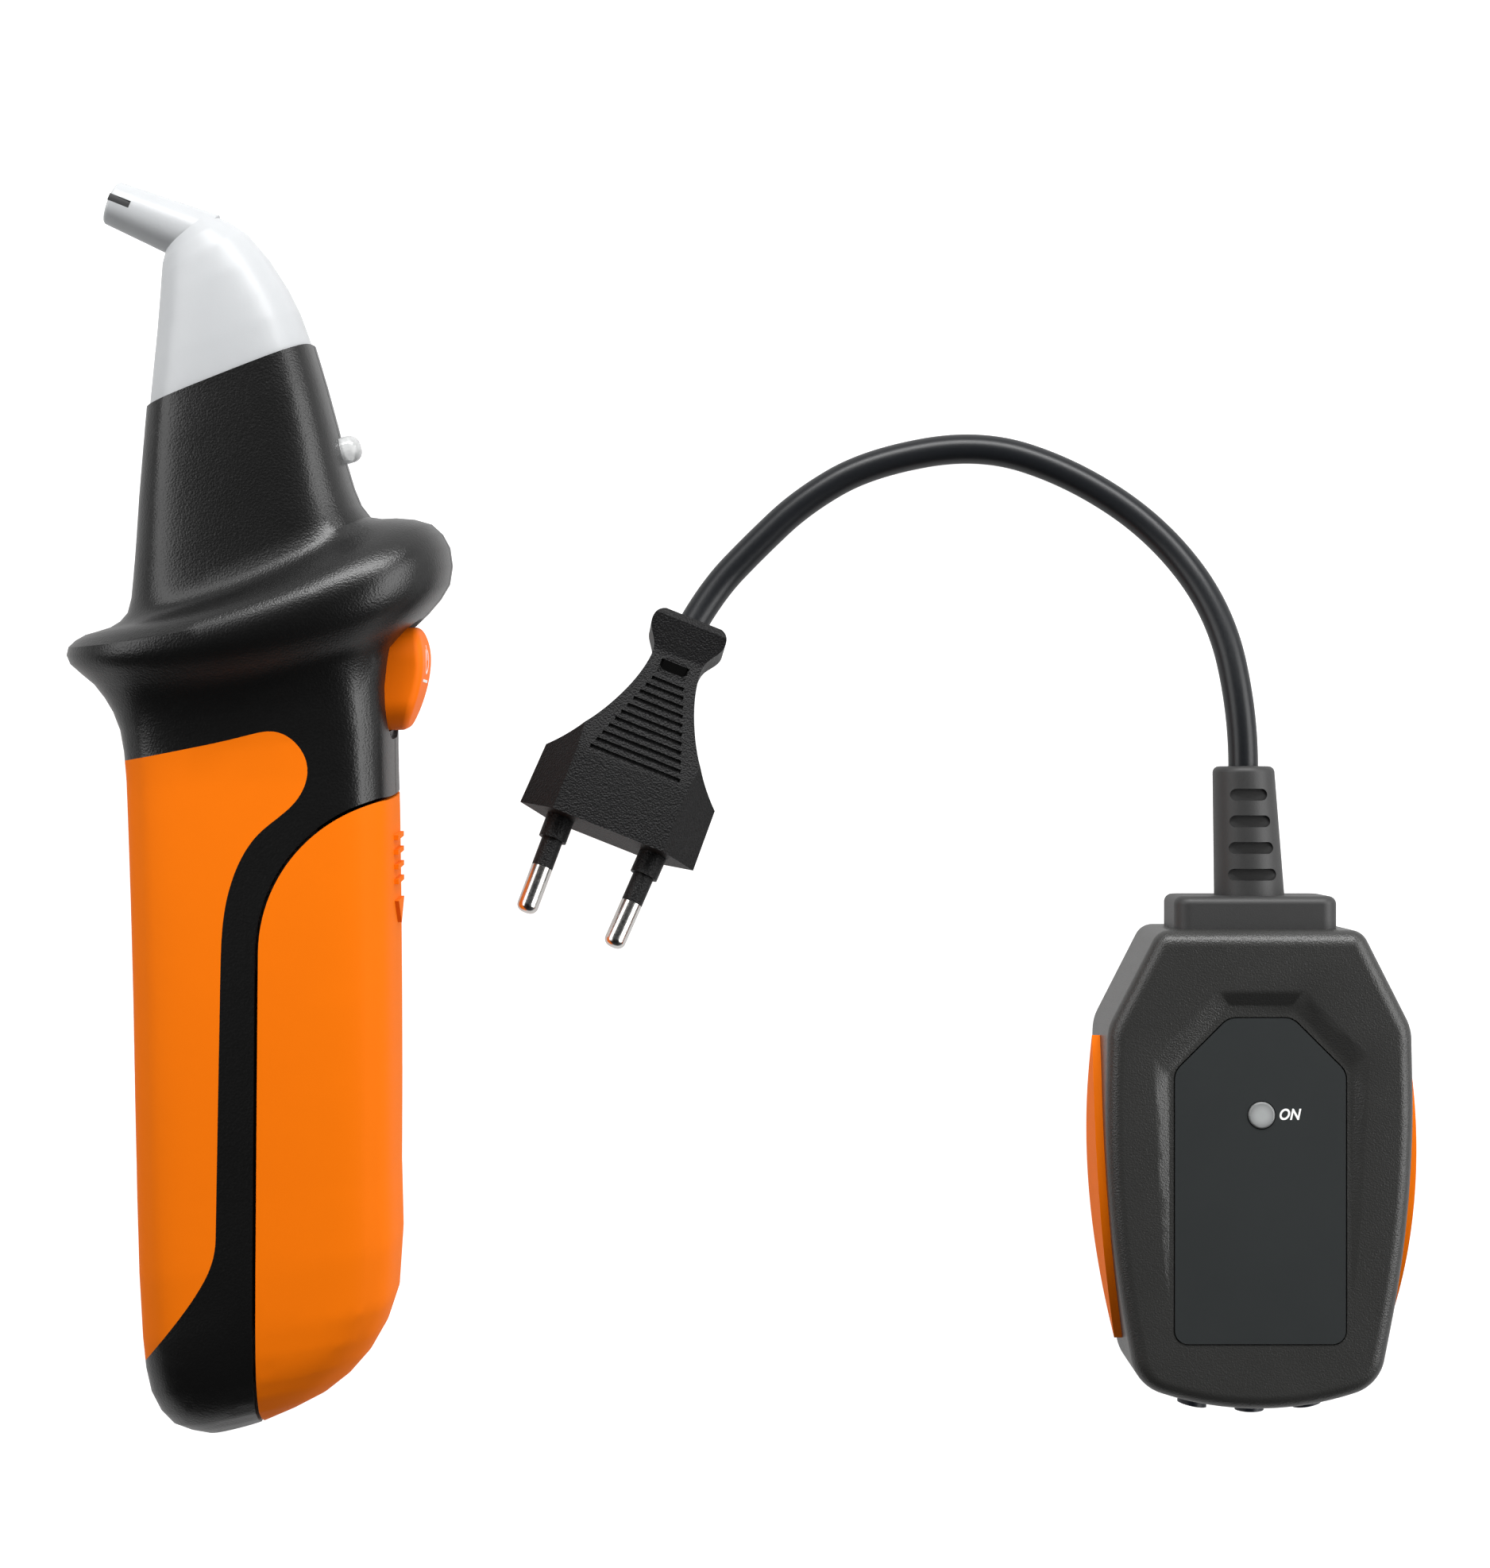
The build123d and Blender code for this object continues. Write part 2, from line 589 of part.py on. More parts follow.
with BuildPart() as shell_form:
    add(OUTER_FORM)
    add(hollow.part, mode=Mode.SUBTRACT)
    add(soft_grip.part, mode=Mode.SUBTRACT)
    add(GAP_PRISM, mode=Mode.SUBTRACT)
    split(bisect_by=SEAM, keep=Keep.BOTTOM)
    add(fittings.part)
    add(cradle.part)
    add(BUTTON_DISH, mode=Mode.SUBTRACT)
    add(BUTTON_HOLE, mode=Mode.SUBTRACT)
    add(FLANGE_POCKET, mode=Mode.SUBTRACT)
    with BuildSketch(LED.offset(-LED_DEEP)):
        Circle(LED_RADIUS + FIT)
    extrude(amount=REACH, mode=Mode.SUBTRACT)
    add(receiver_board.part, mode=Mode.SUBTRACT)


def screw_cut(spots, start, end, radius):
    """Cylinders along Z at some screws, from one height to another."""
    with BuildPart() as cut:
        with BuildSketch(Plane.XY.offset(start)):
            with Locations(*spots):
                Circle(radius)
        extrude(amount=end - start)
    return cut.part


THREAD_CUT = screw_cut(RECEIVER_SCREWS, 0, SCREW_LONG - SCREW_SEAT, SCREW_RADIUS)
SHANK_CUT = screw_cut(RECEIVER_SCREWS, -SCREW_SEAT, 0, SCREW_RADIUS + FIT)
HEAD_CUT = screw_cut(RECEIVER_SCREWS, -REACH, -SCREW_SEAT, SCREW_HEAD_RADIUS + FIT)

with BuildPart() as receiver_right_shell:
    add(shell_form.part)
    split(bisect_by=Plane.XY, keep=Keep.TOP)
    add(THREAD_CUT, mode=Mode.SUBTRACT)

with BuildPart() as receiver_left_shell:
    add(shell_form.part)
    split(bisect_by=Plane.XY, keep=Keep.BOTTOM)
    add(SHANK_CUT, mode=Mode.SUBTRACT)
    add(HEAD_CUT, mode=Mode.SUBTRACT)

with BuildPart() as grip_right:
    add(soft_grip.part)
    split(bisect_by=Plane.XY, keep=Keep.TOP)

with BuildPart() as grip_left:
    add(soft_grip.part)
    split(bisect_by=Plane.XY, keep=Keep.BOTTOM)
    add(HEAD_CUT, mode=Mode.SUBTRACT)


def screw_set(spots, seat):
    """Self-tapping screws along Z, one solid each, with the undersides of their heads at a seat."""
    with BuildPart() as screws:
        with BuildSketch(Plane.XY.offset(seat)):
            with Locations(*spots):
                Circle(SCREW_RADIUS)
        extrude(amount=SCREW_LONG)
        with BuildSketch(Plane.XY.offset(seat)):
            with Locations(*spots):
                Circle(SCREW_HEAD_RADIUS)
        extrude(amount=-SCREW_HEAD_DEEP)
        fillet(screws.faces().group_by(Axis.Z)[0].edges(), SCREW_HEAD_ROUND)
        with BuildSketch(Plane.XY.offset(seat - SCREW_HEAD_DEEP)):
            with Locations(*spots):
                Rectangle(SCREW_CROSS, SCREW_SLOT)
                Rectangle(SCREW_SLOT, SCREW_CROSS)
        extrude(amount=SCREW_CROSS_DEEP, mode=Mode.SUBTRACT)
    return screws


receiver_screws = screw_set(RECEIVER_SCREWS, -SCREW_SEAT)

# ---------------------------------------------------------------- nose, tip and what is in them
with BuildPart() as tip_tube:
    with BuildSketch(TIP):
        Circle(TIP_END_RADIUS)
    with BuildSketch(TIP.offset(TIP_LENGTH)):
        Circle(TIP_ROOT_RADIUS)
    loft()
    fillet(tip_tube.faces().sort_by(Axis.X)[0].edges(), TIP_ROUND)

with BuildPart() as tip_bore:
    with BuildSketch(TIP.offset(BLADE_LENGTH)):
        Circle(TIP_END_RADIUS - TIP_WALL)
    with BuildSketch(TIP.offset(TIP_LENGTH)):
        Circle(TIP_ROOT_RADIUS - TIP_WALL)
    loft()

with BuildPart() as nose_hollow:
    add(NOSE_FORM_INSIDE)
    add(tip_bore.part)

RING_FORM = housing(INSIDE, HOUSING_WALL + FIT)
RING_BORE_FORM = housing(INSIDE, HOUSING_WALL + FIT + SPIGOT_WALL)
ROOT_FORM = housing(INSIDE, NOSE_WALL - SPIGOT_ROOT)

with BuildPart() as spigot:
    add(RING_FORM)
    split(bisect_by=SEAM.offset(-SPIGOT_DEPTH), keep=Keep.TOP)
    split(bisect_by=SEAM, keep=Keep.BOTTOM)

with BuildPart() as spigot_root:
    add(ROOT_FORM)
    split(bisect_by=SEAM, keep=Keep.TOP)
    split(bisect_by=SEAM.offset(SPIGOT_WALL), keep=Keep.BOTTOM)

with BuildPart() as spigot_bore:
    add(RING_BORE_FORM)
    split(bisect_by=SEAM.offset(2 * SPIGOT_WALL), keep=Keep.BOTTOM)

with BuildPart() as sensor_nose:
    add(housing(OUTSIDE, NOSE_STEP))
    split(bisect_by=SEAM, keep=Keep.TOP)
    add(tip_tube.part)
    add(nose_hollow.part, mode=Mode.SUBTRACT)
    add(spigot_root.part)
    add(spigot.part)
    add(spigot_bore.part, mode=Mode.SUBTRACT)
    with BuildSketch(TIP):
        with Locations((0, -BLADE_OVER)):
            Rectangle(4 * TIP_END_RADIUS, BLADE_THICK)
    extrude(amount=BLADE_LENGTH, mode=Mode.SUBTRACT)

with BuildPart() as tip_blade:
    with BuildSketch(TIP):
        Circle(TIP_END_RADIUS)
        with Locations((0, -BLADE_OVER)):
            Rectangle(4 * TIP_END_RADIUS, BLADE_THICK, mode=Mode.INTERSECT)
    extrude(amount=BLADE_LENGTH)

with BuildPart() as coil_core:
    with BuildSketch(TIP.offset(BLADE_LENGTH)):
        Circle(CORE_RADIUS)
    extrude(amount=CORE_LONG)

with BuildPart() as pickup_coil:
    for start, long, radius in (
        (0.0, BOBBIN_CHEEK, BOBBIN_RADIUS),
        (BOBBIN_CHEEK, COIL_LONG, COIL_RADIUS),
        (BOBBIN_CHEEK + COIL_LONG, BOBBIN_CHEEK, BOBBIN_RADIUS),
    ):
        with BuildSketch(TIP.offset(BLADE_LENGTH + COIL_START + start)):
            Circle(radius)
            Circle(CORE_RADIUS, mode=Mode.SUBTRACT)
        extrude(amount=long)

with BuildPart() as signal_led:
    with BuildSketch(LED.offset(-LED_DEEP)):
        Circle(LED_RADIUS + LED_RIM)
    extrude(amount=LED_RIM)
    with BuildSketch(LED.offset(-LED_DEEP)):
        Circle(LED_RADIUS)
    extrude(amount=LED_DEEP + LED_PROUD)
    fillet(signal_led.faces().sort_by(Axis.X)[-1].edges(), LED_RADIUS * LED_DOME)

with BuildPart() as nose_leds:
    for side in (1, -1):
        with BuildSketch(Plane.XZ.offset(NOSE_LED_BELOW - BOARD_HIGH)):
            with Locations((BOARD_FACE - BOARD_THICK - NOSE_LED_RADIUS, side * NOSE_LED_SIDE)):
                Circle(NOSE_LED_RADIUS)
        extrude(amount=-NOSE_LED_LONG)
    fillet(nose_leds.faces().group_by(Axis.Y)[-1].edges(), NOSE_LED_RADIUS * LED_DOME)

with BuildPart() as tact_switch:
    with Locations((BOARD_FACE, BUTTON_MID, 0)):
        Box(SWITCH_BODY, SWITCH_SIDE, SWITCH_SIDE, align=(Align.MIN, Align.CENTER, Align.CENTER))
    with BuildSketch(Plane.YZ.offset(BOARD_FACE + SWITCH_BODY)):
        with Locations((BUTTON_MID, 0)):
            Circle(PLUNGER_RADIUS)
    extrude(amount=SWITCH_PLUNGER)

with BuildPart() as buzzer:
    with BuildSketch(Plane.YZ.offset(BOARD_FACE - BOARD_THICK)):
        with Locations((BUZZER_Y, 0)):
            Circle(BUZZER_RADIUS)
    extrude(amount=-BUZZER_HIGH)
    with BuildSketch(Plane.YZ.offset(BOARD_FACE - BOARD_THICK - BUZZER_HIGH)):
        with Locations((BUZZER_Y, 0)):
            Circle(BUZZER_PORT_RADIUS)
    extrude(amount=BUZZER_PORT_DEEP, mode=Mode.SUBTRACT)

# ---------------------------------------------------------------- battery and its snap
BATTERY_MID = BAY_FACE + BATTERY_THICK / 2
BATTERY_TOP = BATTERY_FOOT + BATTERY_LENGTH
BATTERY = Plane(origin=(BATTERY_MID, BATTERY_TOP, 0), x_dir=(1, 0, 0), z_dir=(0, 1, 0))
STUD_SPOTS = ((0, STUD_SPACING / 2), (0, -STUD_SPACING / 2))

with BuildPart() as battery:
    with BuildSketch(BATTERY):
        RectangleRounded(BATTERY_THICK, BATTERY_WIDTH, BATTERY_CORNER)
    extrude(amount=-BATTERY_LENGTH)
    with BuildSketch(BATTERY):
        with Locations(*STUD_SPOTS):
            Circle(STUD_RADIUS)
    extrude(amount=STUD_HEIGHT)

with BuildPart() as battery_snap:
    with BuildSketch(BATTERY):
        RectangleRounded(SNAP_WIDE, SNAP_LONG, BATTERY_CORNER)
    extrude(amount=SNAP_THICK)
    add(battery.part, mode=Mode.SUBTRACT)

RECEIVER = (
    ("receiver_right_shell", receiver_right_shell), ("receiver_left_shell", receiver_left_shell),
    ("grip_right", grip_right), ("grip_left", grip_left), ("sensor_nose", sensor_nose),
    ("tip_blade", tip_blade), ("coil_core", coil_core), ("pickup_coil", pickup_coil),
    ("signal_led", signal_led), ("nose_leds", nose_leds), ("reset_button", reset_button),
    ("tact_switch", tact_switch), ("receiver_board", receiver_board), ("buzzer", buzzer),
    ("battery_cover", battery_cover), ("battery", battery), ("battery_snap", battery_snap),
    ("receiver_screws", receiver_screws),
)
for label, piece in RECEIVER:
    keep(piece, label, RECEIVER_SEAT)


# ================================================================ transmitter
LABEL_LEVEL = BODY_THICK - FACE_DROP
CAVITY_TOP = LABEL_LEVEL - LABEL_THICK - PANEL_WALL
FACE_SLOPE = FACE_DROP / (BODY_LENGTH - FACE_FLAT)
FACE = Plane(
    origin=(0, 0, LABEL_LEVEL - FACE_SLOPE * FACE_FLAT), x_dir=(1, 0, 0), z_dir=(0, -FACE_SLOPE, 1)
)


def body_outline(grow=0.0):
    """The transmitter's outline seen from the front, grown all round."""
    with BuildSketch() as outline:
        with BuildLine():
            Line((-BODY_TOP_HALF, BODY_LENGTH), (BODY_TOP_HALF, BODY_LENGTH))
            for side in (1, -1):
                Polyline(
                    (side * BODY_TOP_HALF, BODY_LENGTH), (side * BODY_HALF, SHOULDER),
                    (side * BODY_BOW_HALF, BODY_BOW), (side * BODY_FOOT_HALF, FOOT_RISE),
                )
            ThreePointArc((-BODY_FOOT_HALF, FOOT_RISE), (0, 0), (BODY_FOOT_HALF, FOOT_RISE))
        make_face()
        for level, radius in (
            (BODY_LENGTH, CROWN_ROUND), (SHOULDER, SHOULDER_ROUND), (BODY_BOW, BOW_ROUND),
            (FOOT_RISE, FOOT_ROUND),
        ):
            corners = outline.vertices().filter_by_position(Axis.Y, level - FIT, level + FIT)
            fillet(corners, radius)
        if grow:
            offset(amount=grow)
    return outline.sketch


def label_outline(grow=0.0):
    """The label's outline, grown all round."""
    with BuildSketch() as outline:
        with BuildLine():
            foot = Line((-LABEL_HALF, LABEL_LOW), (LABEL_HALF, LABEL_LOW))
            Polyline(
                foot @ 1, (LABEL_HALF, LABEL_HIGH - LABEL_CORNER),
                (LABEL_HALF - LABEL_CORNER, LABEL_HIGH), (LABEL_CORNER - LABEL_HALF, LABEL_HIGH),
                (-LABEL_HALF, LABEL_HIGH - LABEL_CORNER), foot @ 0,
            )
        make_face()
        fillet(outline.vertices().group_by(Axis.Y)[0], LABEL_ROUND)
        blunt = outline.vertices().filter_by_position(Axis.Y, LABEL_HIGH - 2 * LABEL_CORNER, REACH * 2)
        fillet(blunt, LABEL_SOFT)
        if grow:
            offset(amount=grow)
    return outline.sketch


BODY_OUTLINE = body_outline()
CAVITY_OUTLINE = body_outline(-BODY_WALL)
GRIP_OUTLINE = body_outline(GRIP_PROUD)
GRIP_BED_OUTLINE = body_outline(-GRIP_DEEP)
BUMPER_OUTLINE = body_outline(BUMPER_PROUD)
TONGUE_OUTLINE = body_outline(-SEAM_LIP - FIT)
GROOVE_OUTLINE = body_outline(-SEAM_LIP)
LABEL_OUTLINE = label_outline()
LABEL_POCKET = label_outline(LABEL_GAP)

with BuildPart() as body_form:
    with BuildSketch():
        add(BODY_OUTLINE)
    extrude(amount=BODY_THICK)
    split(bisect_by=FACE, keep=Keep.BOTTOM)
    fillet(body_form.faces().sort_by(Axis.Z)[-1].edges(), FACE_EDGE)
    fillet(body_form.faces().sort_by(Axis.Z)[0].edges(), BACK_EDGE)

with BuildPart() as body_cavity:
    with BuildSketch(Plane.XY.offset(BODY_WALL)):
        add(CAVITY_OUTLINE)
    extrude(amount=CAVITY_TOP - BODY_WALL)

FLOOR_HALF = LABEL_HALF + FLOOR_MARGIN
FLOOR_TOP_HALF = LABEL_HALF - LABEL_CORNER
FLOOR_TOP = LABEL_HIGH + FLOOR_OVER

with BuildPart() as label_recess:
    with BuildSketch(Plane.XY.offset(LABEL_LEVEL)):
        with BuildLine():
            Polyline(
                (-FLOOR_HALF, FACE_FLAT), (-FLOOR_HALF, LABEL_HIGH - LABEL_CORNER),
                (-FLOOR_TOP_HALF, FLOOR_TOP), (FLOOR_TOP_HALF, FLOOR_TOP),
                (FLOOR_HALF, LABEL_HIGH - LABEL_CORNER), (FLOOR_HALF, FACE_FLAT), close=True,
            )
        make_face()
    with BuildSketch(FACE.offset(RIM_OVER)):
        with BuildLine():
            Polyline(
                (-RIM_FOOT_HALF, FACE_FLAT), (-RIM_HALF, RIM_SHOULDER), (-RIM_TOP_HALF, RIM_TOP),
                (RIM_TOP_HALF, RIM_TOP), (RIM_HALF, RIM_SHOULDER), (RIM_FOOT_HALF, FACE_FLAT),
                close=True,
            )
        make_face()
    loft(ruled=True)

with BuildPart() as grip_band:
    with BuildSketch():
        add(GRIP_OUTLINE)
        add(GRIP_BED_OUTLINE, mode=Mode.SUBTRACT)
    extrude(amount=BODY_THICK)
    with BuildSketch(Plane.YZ):
        middle = (GRIP_LOW + GRIP_HIGH) / 2
        with BuildLine():
            for side in (1, -1):
                ThreePointArc(
                    (GRIP_LOW, BODY_SEAM), (middle, BODY_SEAM + side * GRIP_HALF),
                    (GRIP_HIGH, BODY_SEAM),
                )
        make_face()
    extrude(amount=REACH, both=True, mode=Mode.INTERSECT)

with BuildPart() as side_grip_right:
    add(grip_band.part)
    split(bisect_by=Plane.YZ, keep=Keep.TOP)

with BuildPart() as side_grip_left:
    add(grip_band.part)
    split(bisect_by=Plane.YZ, keep=Keep.BOTTOM)

with BuildPart() as end_bumpers:
    with BuildSketch(Plane.XY.offset(BODY_SEAM - BUMPER_RADIUS)):
        add(BUMPER_OUTLINE)
        add(CAVITY_OUTLINE, mode=Mode.SUBTRACT)
    extrude(amount=2 * BUMPER_RADIUS)
    with BuildSketch(Plane.XZ):
        with Locations((0, BODY_SEAM)):
            with GridLocations(BUMPER_SPACING, 1, BUMPER_COUNT, 1):
                Circle(BUMPER_RADIUS)
    extrude(amount=BODY_WALL * 3, both=True, mode=Mode.INTERSECT)

# ---------------------------------------------------------------- transmitter shells
MAIN_BOARD_FRONT = MAIN_BOARD_BACK + BOARD_THICK

with BuildPart() as body_bosses:
    with BuildSketch(Plane.XY.offset(BODY_WALL)):
        with Locations(*TRANSMITTER_SCREWS):
            Circle(BOSS_RADIUS)
    extrude(amount=CAVITY_TOP - BODY_WALL)

with BuildPart() as back_posts:
    with BuildSketch(Plane.XY.offset(BODY_WALL)):
        with Locations(*POSTS):
            Circle(POST_RADIUS)
    extrude(amount=MAIN_BOARD_BACK - BODY_WALL)

with BuildPart() as front_posts:
    with BuildSketch(Plane.XY.offset(MAIN_BOARD_FRONT)):
        with Locations(*POSTS):
            Circle(POST_RADIUS)
    extrude(amount=CAVITY_TOP - MAIN_BOARD_FRONT)

with BuildPart() as seam_tongue:
    with BuildSketch(Plane.XY.offset(BODY_SEAM - SEAM_LIP_HIGH)):
        add(TONGUE_OUTLINE)
        add(CAVITY_OUTLINE, mode=Mode.SUBTRACT)
    extrude(amount=SEAM_LIP_HIGH)

with BuildPart() as main_board:
    with BuildSketch(Plane.XY.offset(MAIN_BOARD_BACK)):
        with Locations((0, MAIN_BOARD_MID)):
            RectangleRounded(MAIN_BOARD_WIDE, MAIN_BOARD_LONG, MAIN_BOARD_ROUND)
    extrude(amount=BOARD_THICK)

LENS = Plane(origin=(*LENS_AT, LABEL_LEVEL))

RELIEF = Plane(origin=(0, BODY_LENGTH, BODY_SEAM), x_dir=(1, 0, 0), z_dir=(0, 1, 0))

with BuildPart() as relief_slot:
    with BuildSketch(RELIEF):
        Rectangle(2 * (NECK_BAR_HALF + FIT), 2 * (NECK_BAR_HIGH + FIT))
    extrude(amount=BODY_WALL * 3, both=True)

with BuildPart() as body_shell:
    add(body_form.part)
    add(body_cavity.part, mode=Mode.SUBTRACT)
    add(body_bosses.part)
    add(side_grip_right.part, mode=Mode.SUBTRACT)
    add(side_grip_left.part, mode=Mode.SUBTRACT)
    add(end_bumpers.part, mode=Mode.SUBTRACT)
    add(relief_slot.part, mode=Mode.SUBTRACT)

BODY_HEAD_CUT = screw_cut(TRANSMITTER_SCREWS, 0, BODY_SCREW_SEAT, SCREW_HEAD_RADIUS + FIT)
BODY_SHANK_CUT = screw_cut(TRANSMITTER_SCREWS, 0, BODY_SEAM, SCREW_RADIUS + FIT)
BODY_THREAD_CUT = screw_cut(
    TRANSMITTER_SCREWS, BODY_SEAM, BODY_SCREW_SEAT + SCREW_LONG, SCREW_RADIUS
)

with BuildPart() as transmitter_back_shell:
    add(body_shell.part)
    split(bisect_by=Plane.XY.offset(BODY_SEAM), keep=Keep.BOTTOM)
    add(back_posts.part)
    with BuildSketch(Plane.XY.offset(BODY_SEAM)):
        add(GROOVE_OUTLINE)
        add(CAVITY_OUTLINE, mode=Mode.SUBTRACT)
    extrude(amount=-SEAM_LIP_HIGH - FIT, mode=Mode.SUBTRACT)
    add(BODY_HEAD_CUT, mode=Mode.SUBTRACT)
    add(BODY_SHANK_CUT, mode=Mode.SUBTRACT)

with BuildPart() as transmitter_front_shell:
    add(body_shell.part)
    split(bisect_by=Plane.XY.offset(BODY_SEAM), keep=Keep.TOP)
    add(front_posts.part)
    add(seam_tongue.part)
    add(side_grip_right.part, mode=Mode.SUBTRACT)
    add(side_grip_left.part, mode=Mode.SUBTRACT)
    add(end_bumpers.part, mode=Mode.SUBTRACT)
    add(relief_slot.part, mode=Mode.SUBTRACT)
    add(label_recess.part, mode=Mode.SUBTRACT)
    with BuildSketch(Plane.XY.offset(LABEL_LEVEL - LABEL_THICK)):
        add(LABEL_POCKET)
    extrude(amount=BODY_THICK, mode=Mode.SUBTRACT)
    with BuildSketch(LENS.offset(-BODY_THICK / 2)):
        Circle(LENS_RADIUS + FIT)
    extrude(amount=BODY_THICK, mode=Mode.SUBTRACT)
    add(BODY_THREAD_CUT, mode=Mode.SUBTRACT)

with BuildPart() as label_panel:
    with BuildSketch(Plane.XY.offset(LABEL_LEVEL - LABEL_THICK)):
        add(LABEL_OUTLINE)
        with Locations(LENS_AT):
            Circle(LENS_RADIUS + FIT, mode=Mode.SUBTRACT)
    extrude(amount=LABEL_THICK)

with BuildPart() as power_lens:
    with BuildSketch(LENS.offset(LENS_PROUD)):
        Circle(LENS_RADIUS)
    extrude(amount=CAVITY_TOP - LENS_LONG - LABEL_LEVEL - LENS_PROUD)
    fillet(power_lens.faces().sort_by(Axis.Z)[-1].edges(), LENS_PROUD)
    with BuildSketch(Plane.XY.offset(CAVITY_TOP)):
        with Locations(LENS_AT):
            Circle(LENS_RADIUS + LENS_FLANGE)
    extrude(amount=-LENS_FLANGE)

with BuildPart() as power_led:
    with BuildSketch(Plane.XY.offset(MAIN_BOARD_FRONT)):
        with Locations(LENS_AT):
            Circle(POWER_LED_RADIUS)
    extrude(amount=POWER_LED_LONG)
    fillet(power_led.faces().sort_by(Axis.Z)[-1].edges(), POWER_LED_RADIUS * LED_DOME)

with BuildPart() as coupling_transformer:
    with Locations((*TRANSFORMER_AT, MAIN_BOARD_FRONT)):
        Box(*TRANSFORMER_SIZE, align=(Align.CENTER, Align.CENTER, Align.MIN))
    fillet(coupling_transformer.edges().filter_by(Axis.Z), CASE_ROUND)

with BuildPart() as line_capacitor:
    with Locations((*CAPACITOR_AT, MAIN_BOARD_FRONT)):
        Box(*CAPACITOR_SIZE, align=(Align.CENTER, Align.CENTER, Align.MIN))
    fillet(line_capacitor.edges().filter_by(Axis.Z), CASE_ROUND)

with BuildPart() as fuse:
    with BuildSketch(Plane.YZ.offset(FUSE_AT[0] - FUSE_LONG / 2)):
        with Locations((FUSE_AT[1], MAIN_BOARD_FRONT + FUSE_RADIUS)):
            Circle(FUSE_RADIUS)
    extrude(amount=FUSE_LONG)

transmitter_screws = screw_set(TRANSMITTER_SCREWS, BODY_SCREW_SEAT)

# ---------------------------------------------------------------- strain relief
with BuildPart() as strain_relief:
    with BuildSketch(RELIEF):
        RectangleRounded(2 * COLLAR_HALF, COLLAR_DEEP, COLLAR_ROUND)
    extrude(amount=COLLAR_LONG)
    fillet(strain_relief.faces().sort_by(Axis.Y)[-1].edges(), COLLAR_EDGE)
    with BuildSketch(RELIEF.offset(COLLAR_LONG)):
        Circle(SLEEVE_ROOT_RADIUS)
    with BuildSketch(RELIEF.offset(COLLAR_LONG + SLEEVE_LONG)):
        with Locations((-SLEEVE_SWAY, 0)):
            Circle(SLEEVE_END_RADIUS)
    loft()
    fillet(strain_relief.faces().sort_by(Axis.Y)[-1].edges(), SLEEVE_ROUND)
    for side in (1, -1):
        with BuildSketch(Plane.XY.offset(BODY_SEAM + side * SLOT_FLOOR)):
            for slot in range(SLOT_COUNT):
                share = slot / (SLOT_COUNT - 1)
                along = SLOT_START + slot * SLOT_PITCH
                aside = -SLEEVE_SWAY * along / SLEEVE_LONG
                with Locations((aside, BODY_LENGTH + COLLAR_LONG + along)):
                    SlotOverall(
                        SLOT_ROOT_WIDE + (SLOT_END_WIDE - SLOT_ROOT_WIDE) * share, SLOT_HIGH
                    )
        extrude(amount=side * SLEEVE_ROOT_RADIUS, mode=Mode.SUBTRACT)
    with BuildSketch(RELIEF):
        Rectangle(2 * NECK_BAR_HALF, 2 * NECK_BAR_HIGH)
    extrude(amount=-BODY_WALL - FIT)
    with BuildSketch(RELIEF.offset(-BODY_WALL - FIT)):
        Rectangle(2 * (NECK_BAR_HALF + FLANGE_OVER), 2 * (NECK_BAR_HIGH + FLANGE_OVER))
    extrude(amount=-FLANGE_THICK)

TRANSMITTER_SEAT = Location((*TRANSMITTER_AT, 0))
TRANSMITTER = (
    ("transmitter_front_shell", transmitter_front_shell),
    ("transmitter_back_shell", transmitter_back_shell), ("label_panel", label_panel),
    ("power_lens", power_lens), ("power_led", power_led), ("main_board", main_board),
    ("coupling_transformer", coupling_transformer), ("line_capacitor", line_capacitor),
    ("fuse", fuse), ("side_grip_right", side_grip_right), ("side_grip_left", side_grip_left),
    ("end_bumpers", end_bumpers), ("transmitter_screws", transmitter_screws),
    ("strain_relief", strain_relief),
)
for label, piece in TRANSMITTER:
    keep(piece, label, TRANSMITTER_SEAT)


# ================================================================ plug
def plug_side(x):
    """Half the plug's thickness, from the pin face to the cord."""
    share = (x - PLUG_BLOCK_LONG) / (PLUG_WAIST_AT - PLUG_BLOCK_LONG)
    return PLUG_HALF_THICK + (PLUG_WAIST_HALF_THICK - PLUG_HALF_THICK) * share


# each pin starts in the pin face and points away from the plug, a little towards the other
PIN_SEATS = [
    Location((0, side * PIN_SPACING / 2, 0), (0, 0, side * PIN_TOE)) * Location((0, 0, 0), (0, -90, 0))
    for side in (1, -1)
]

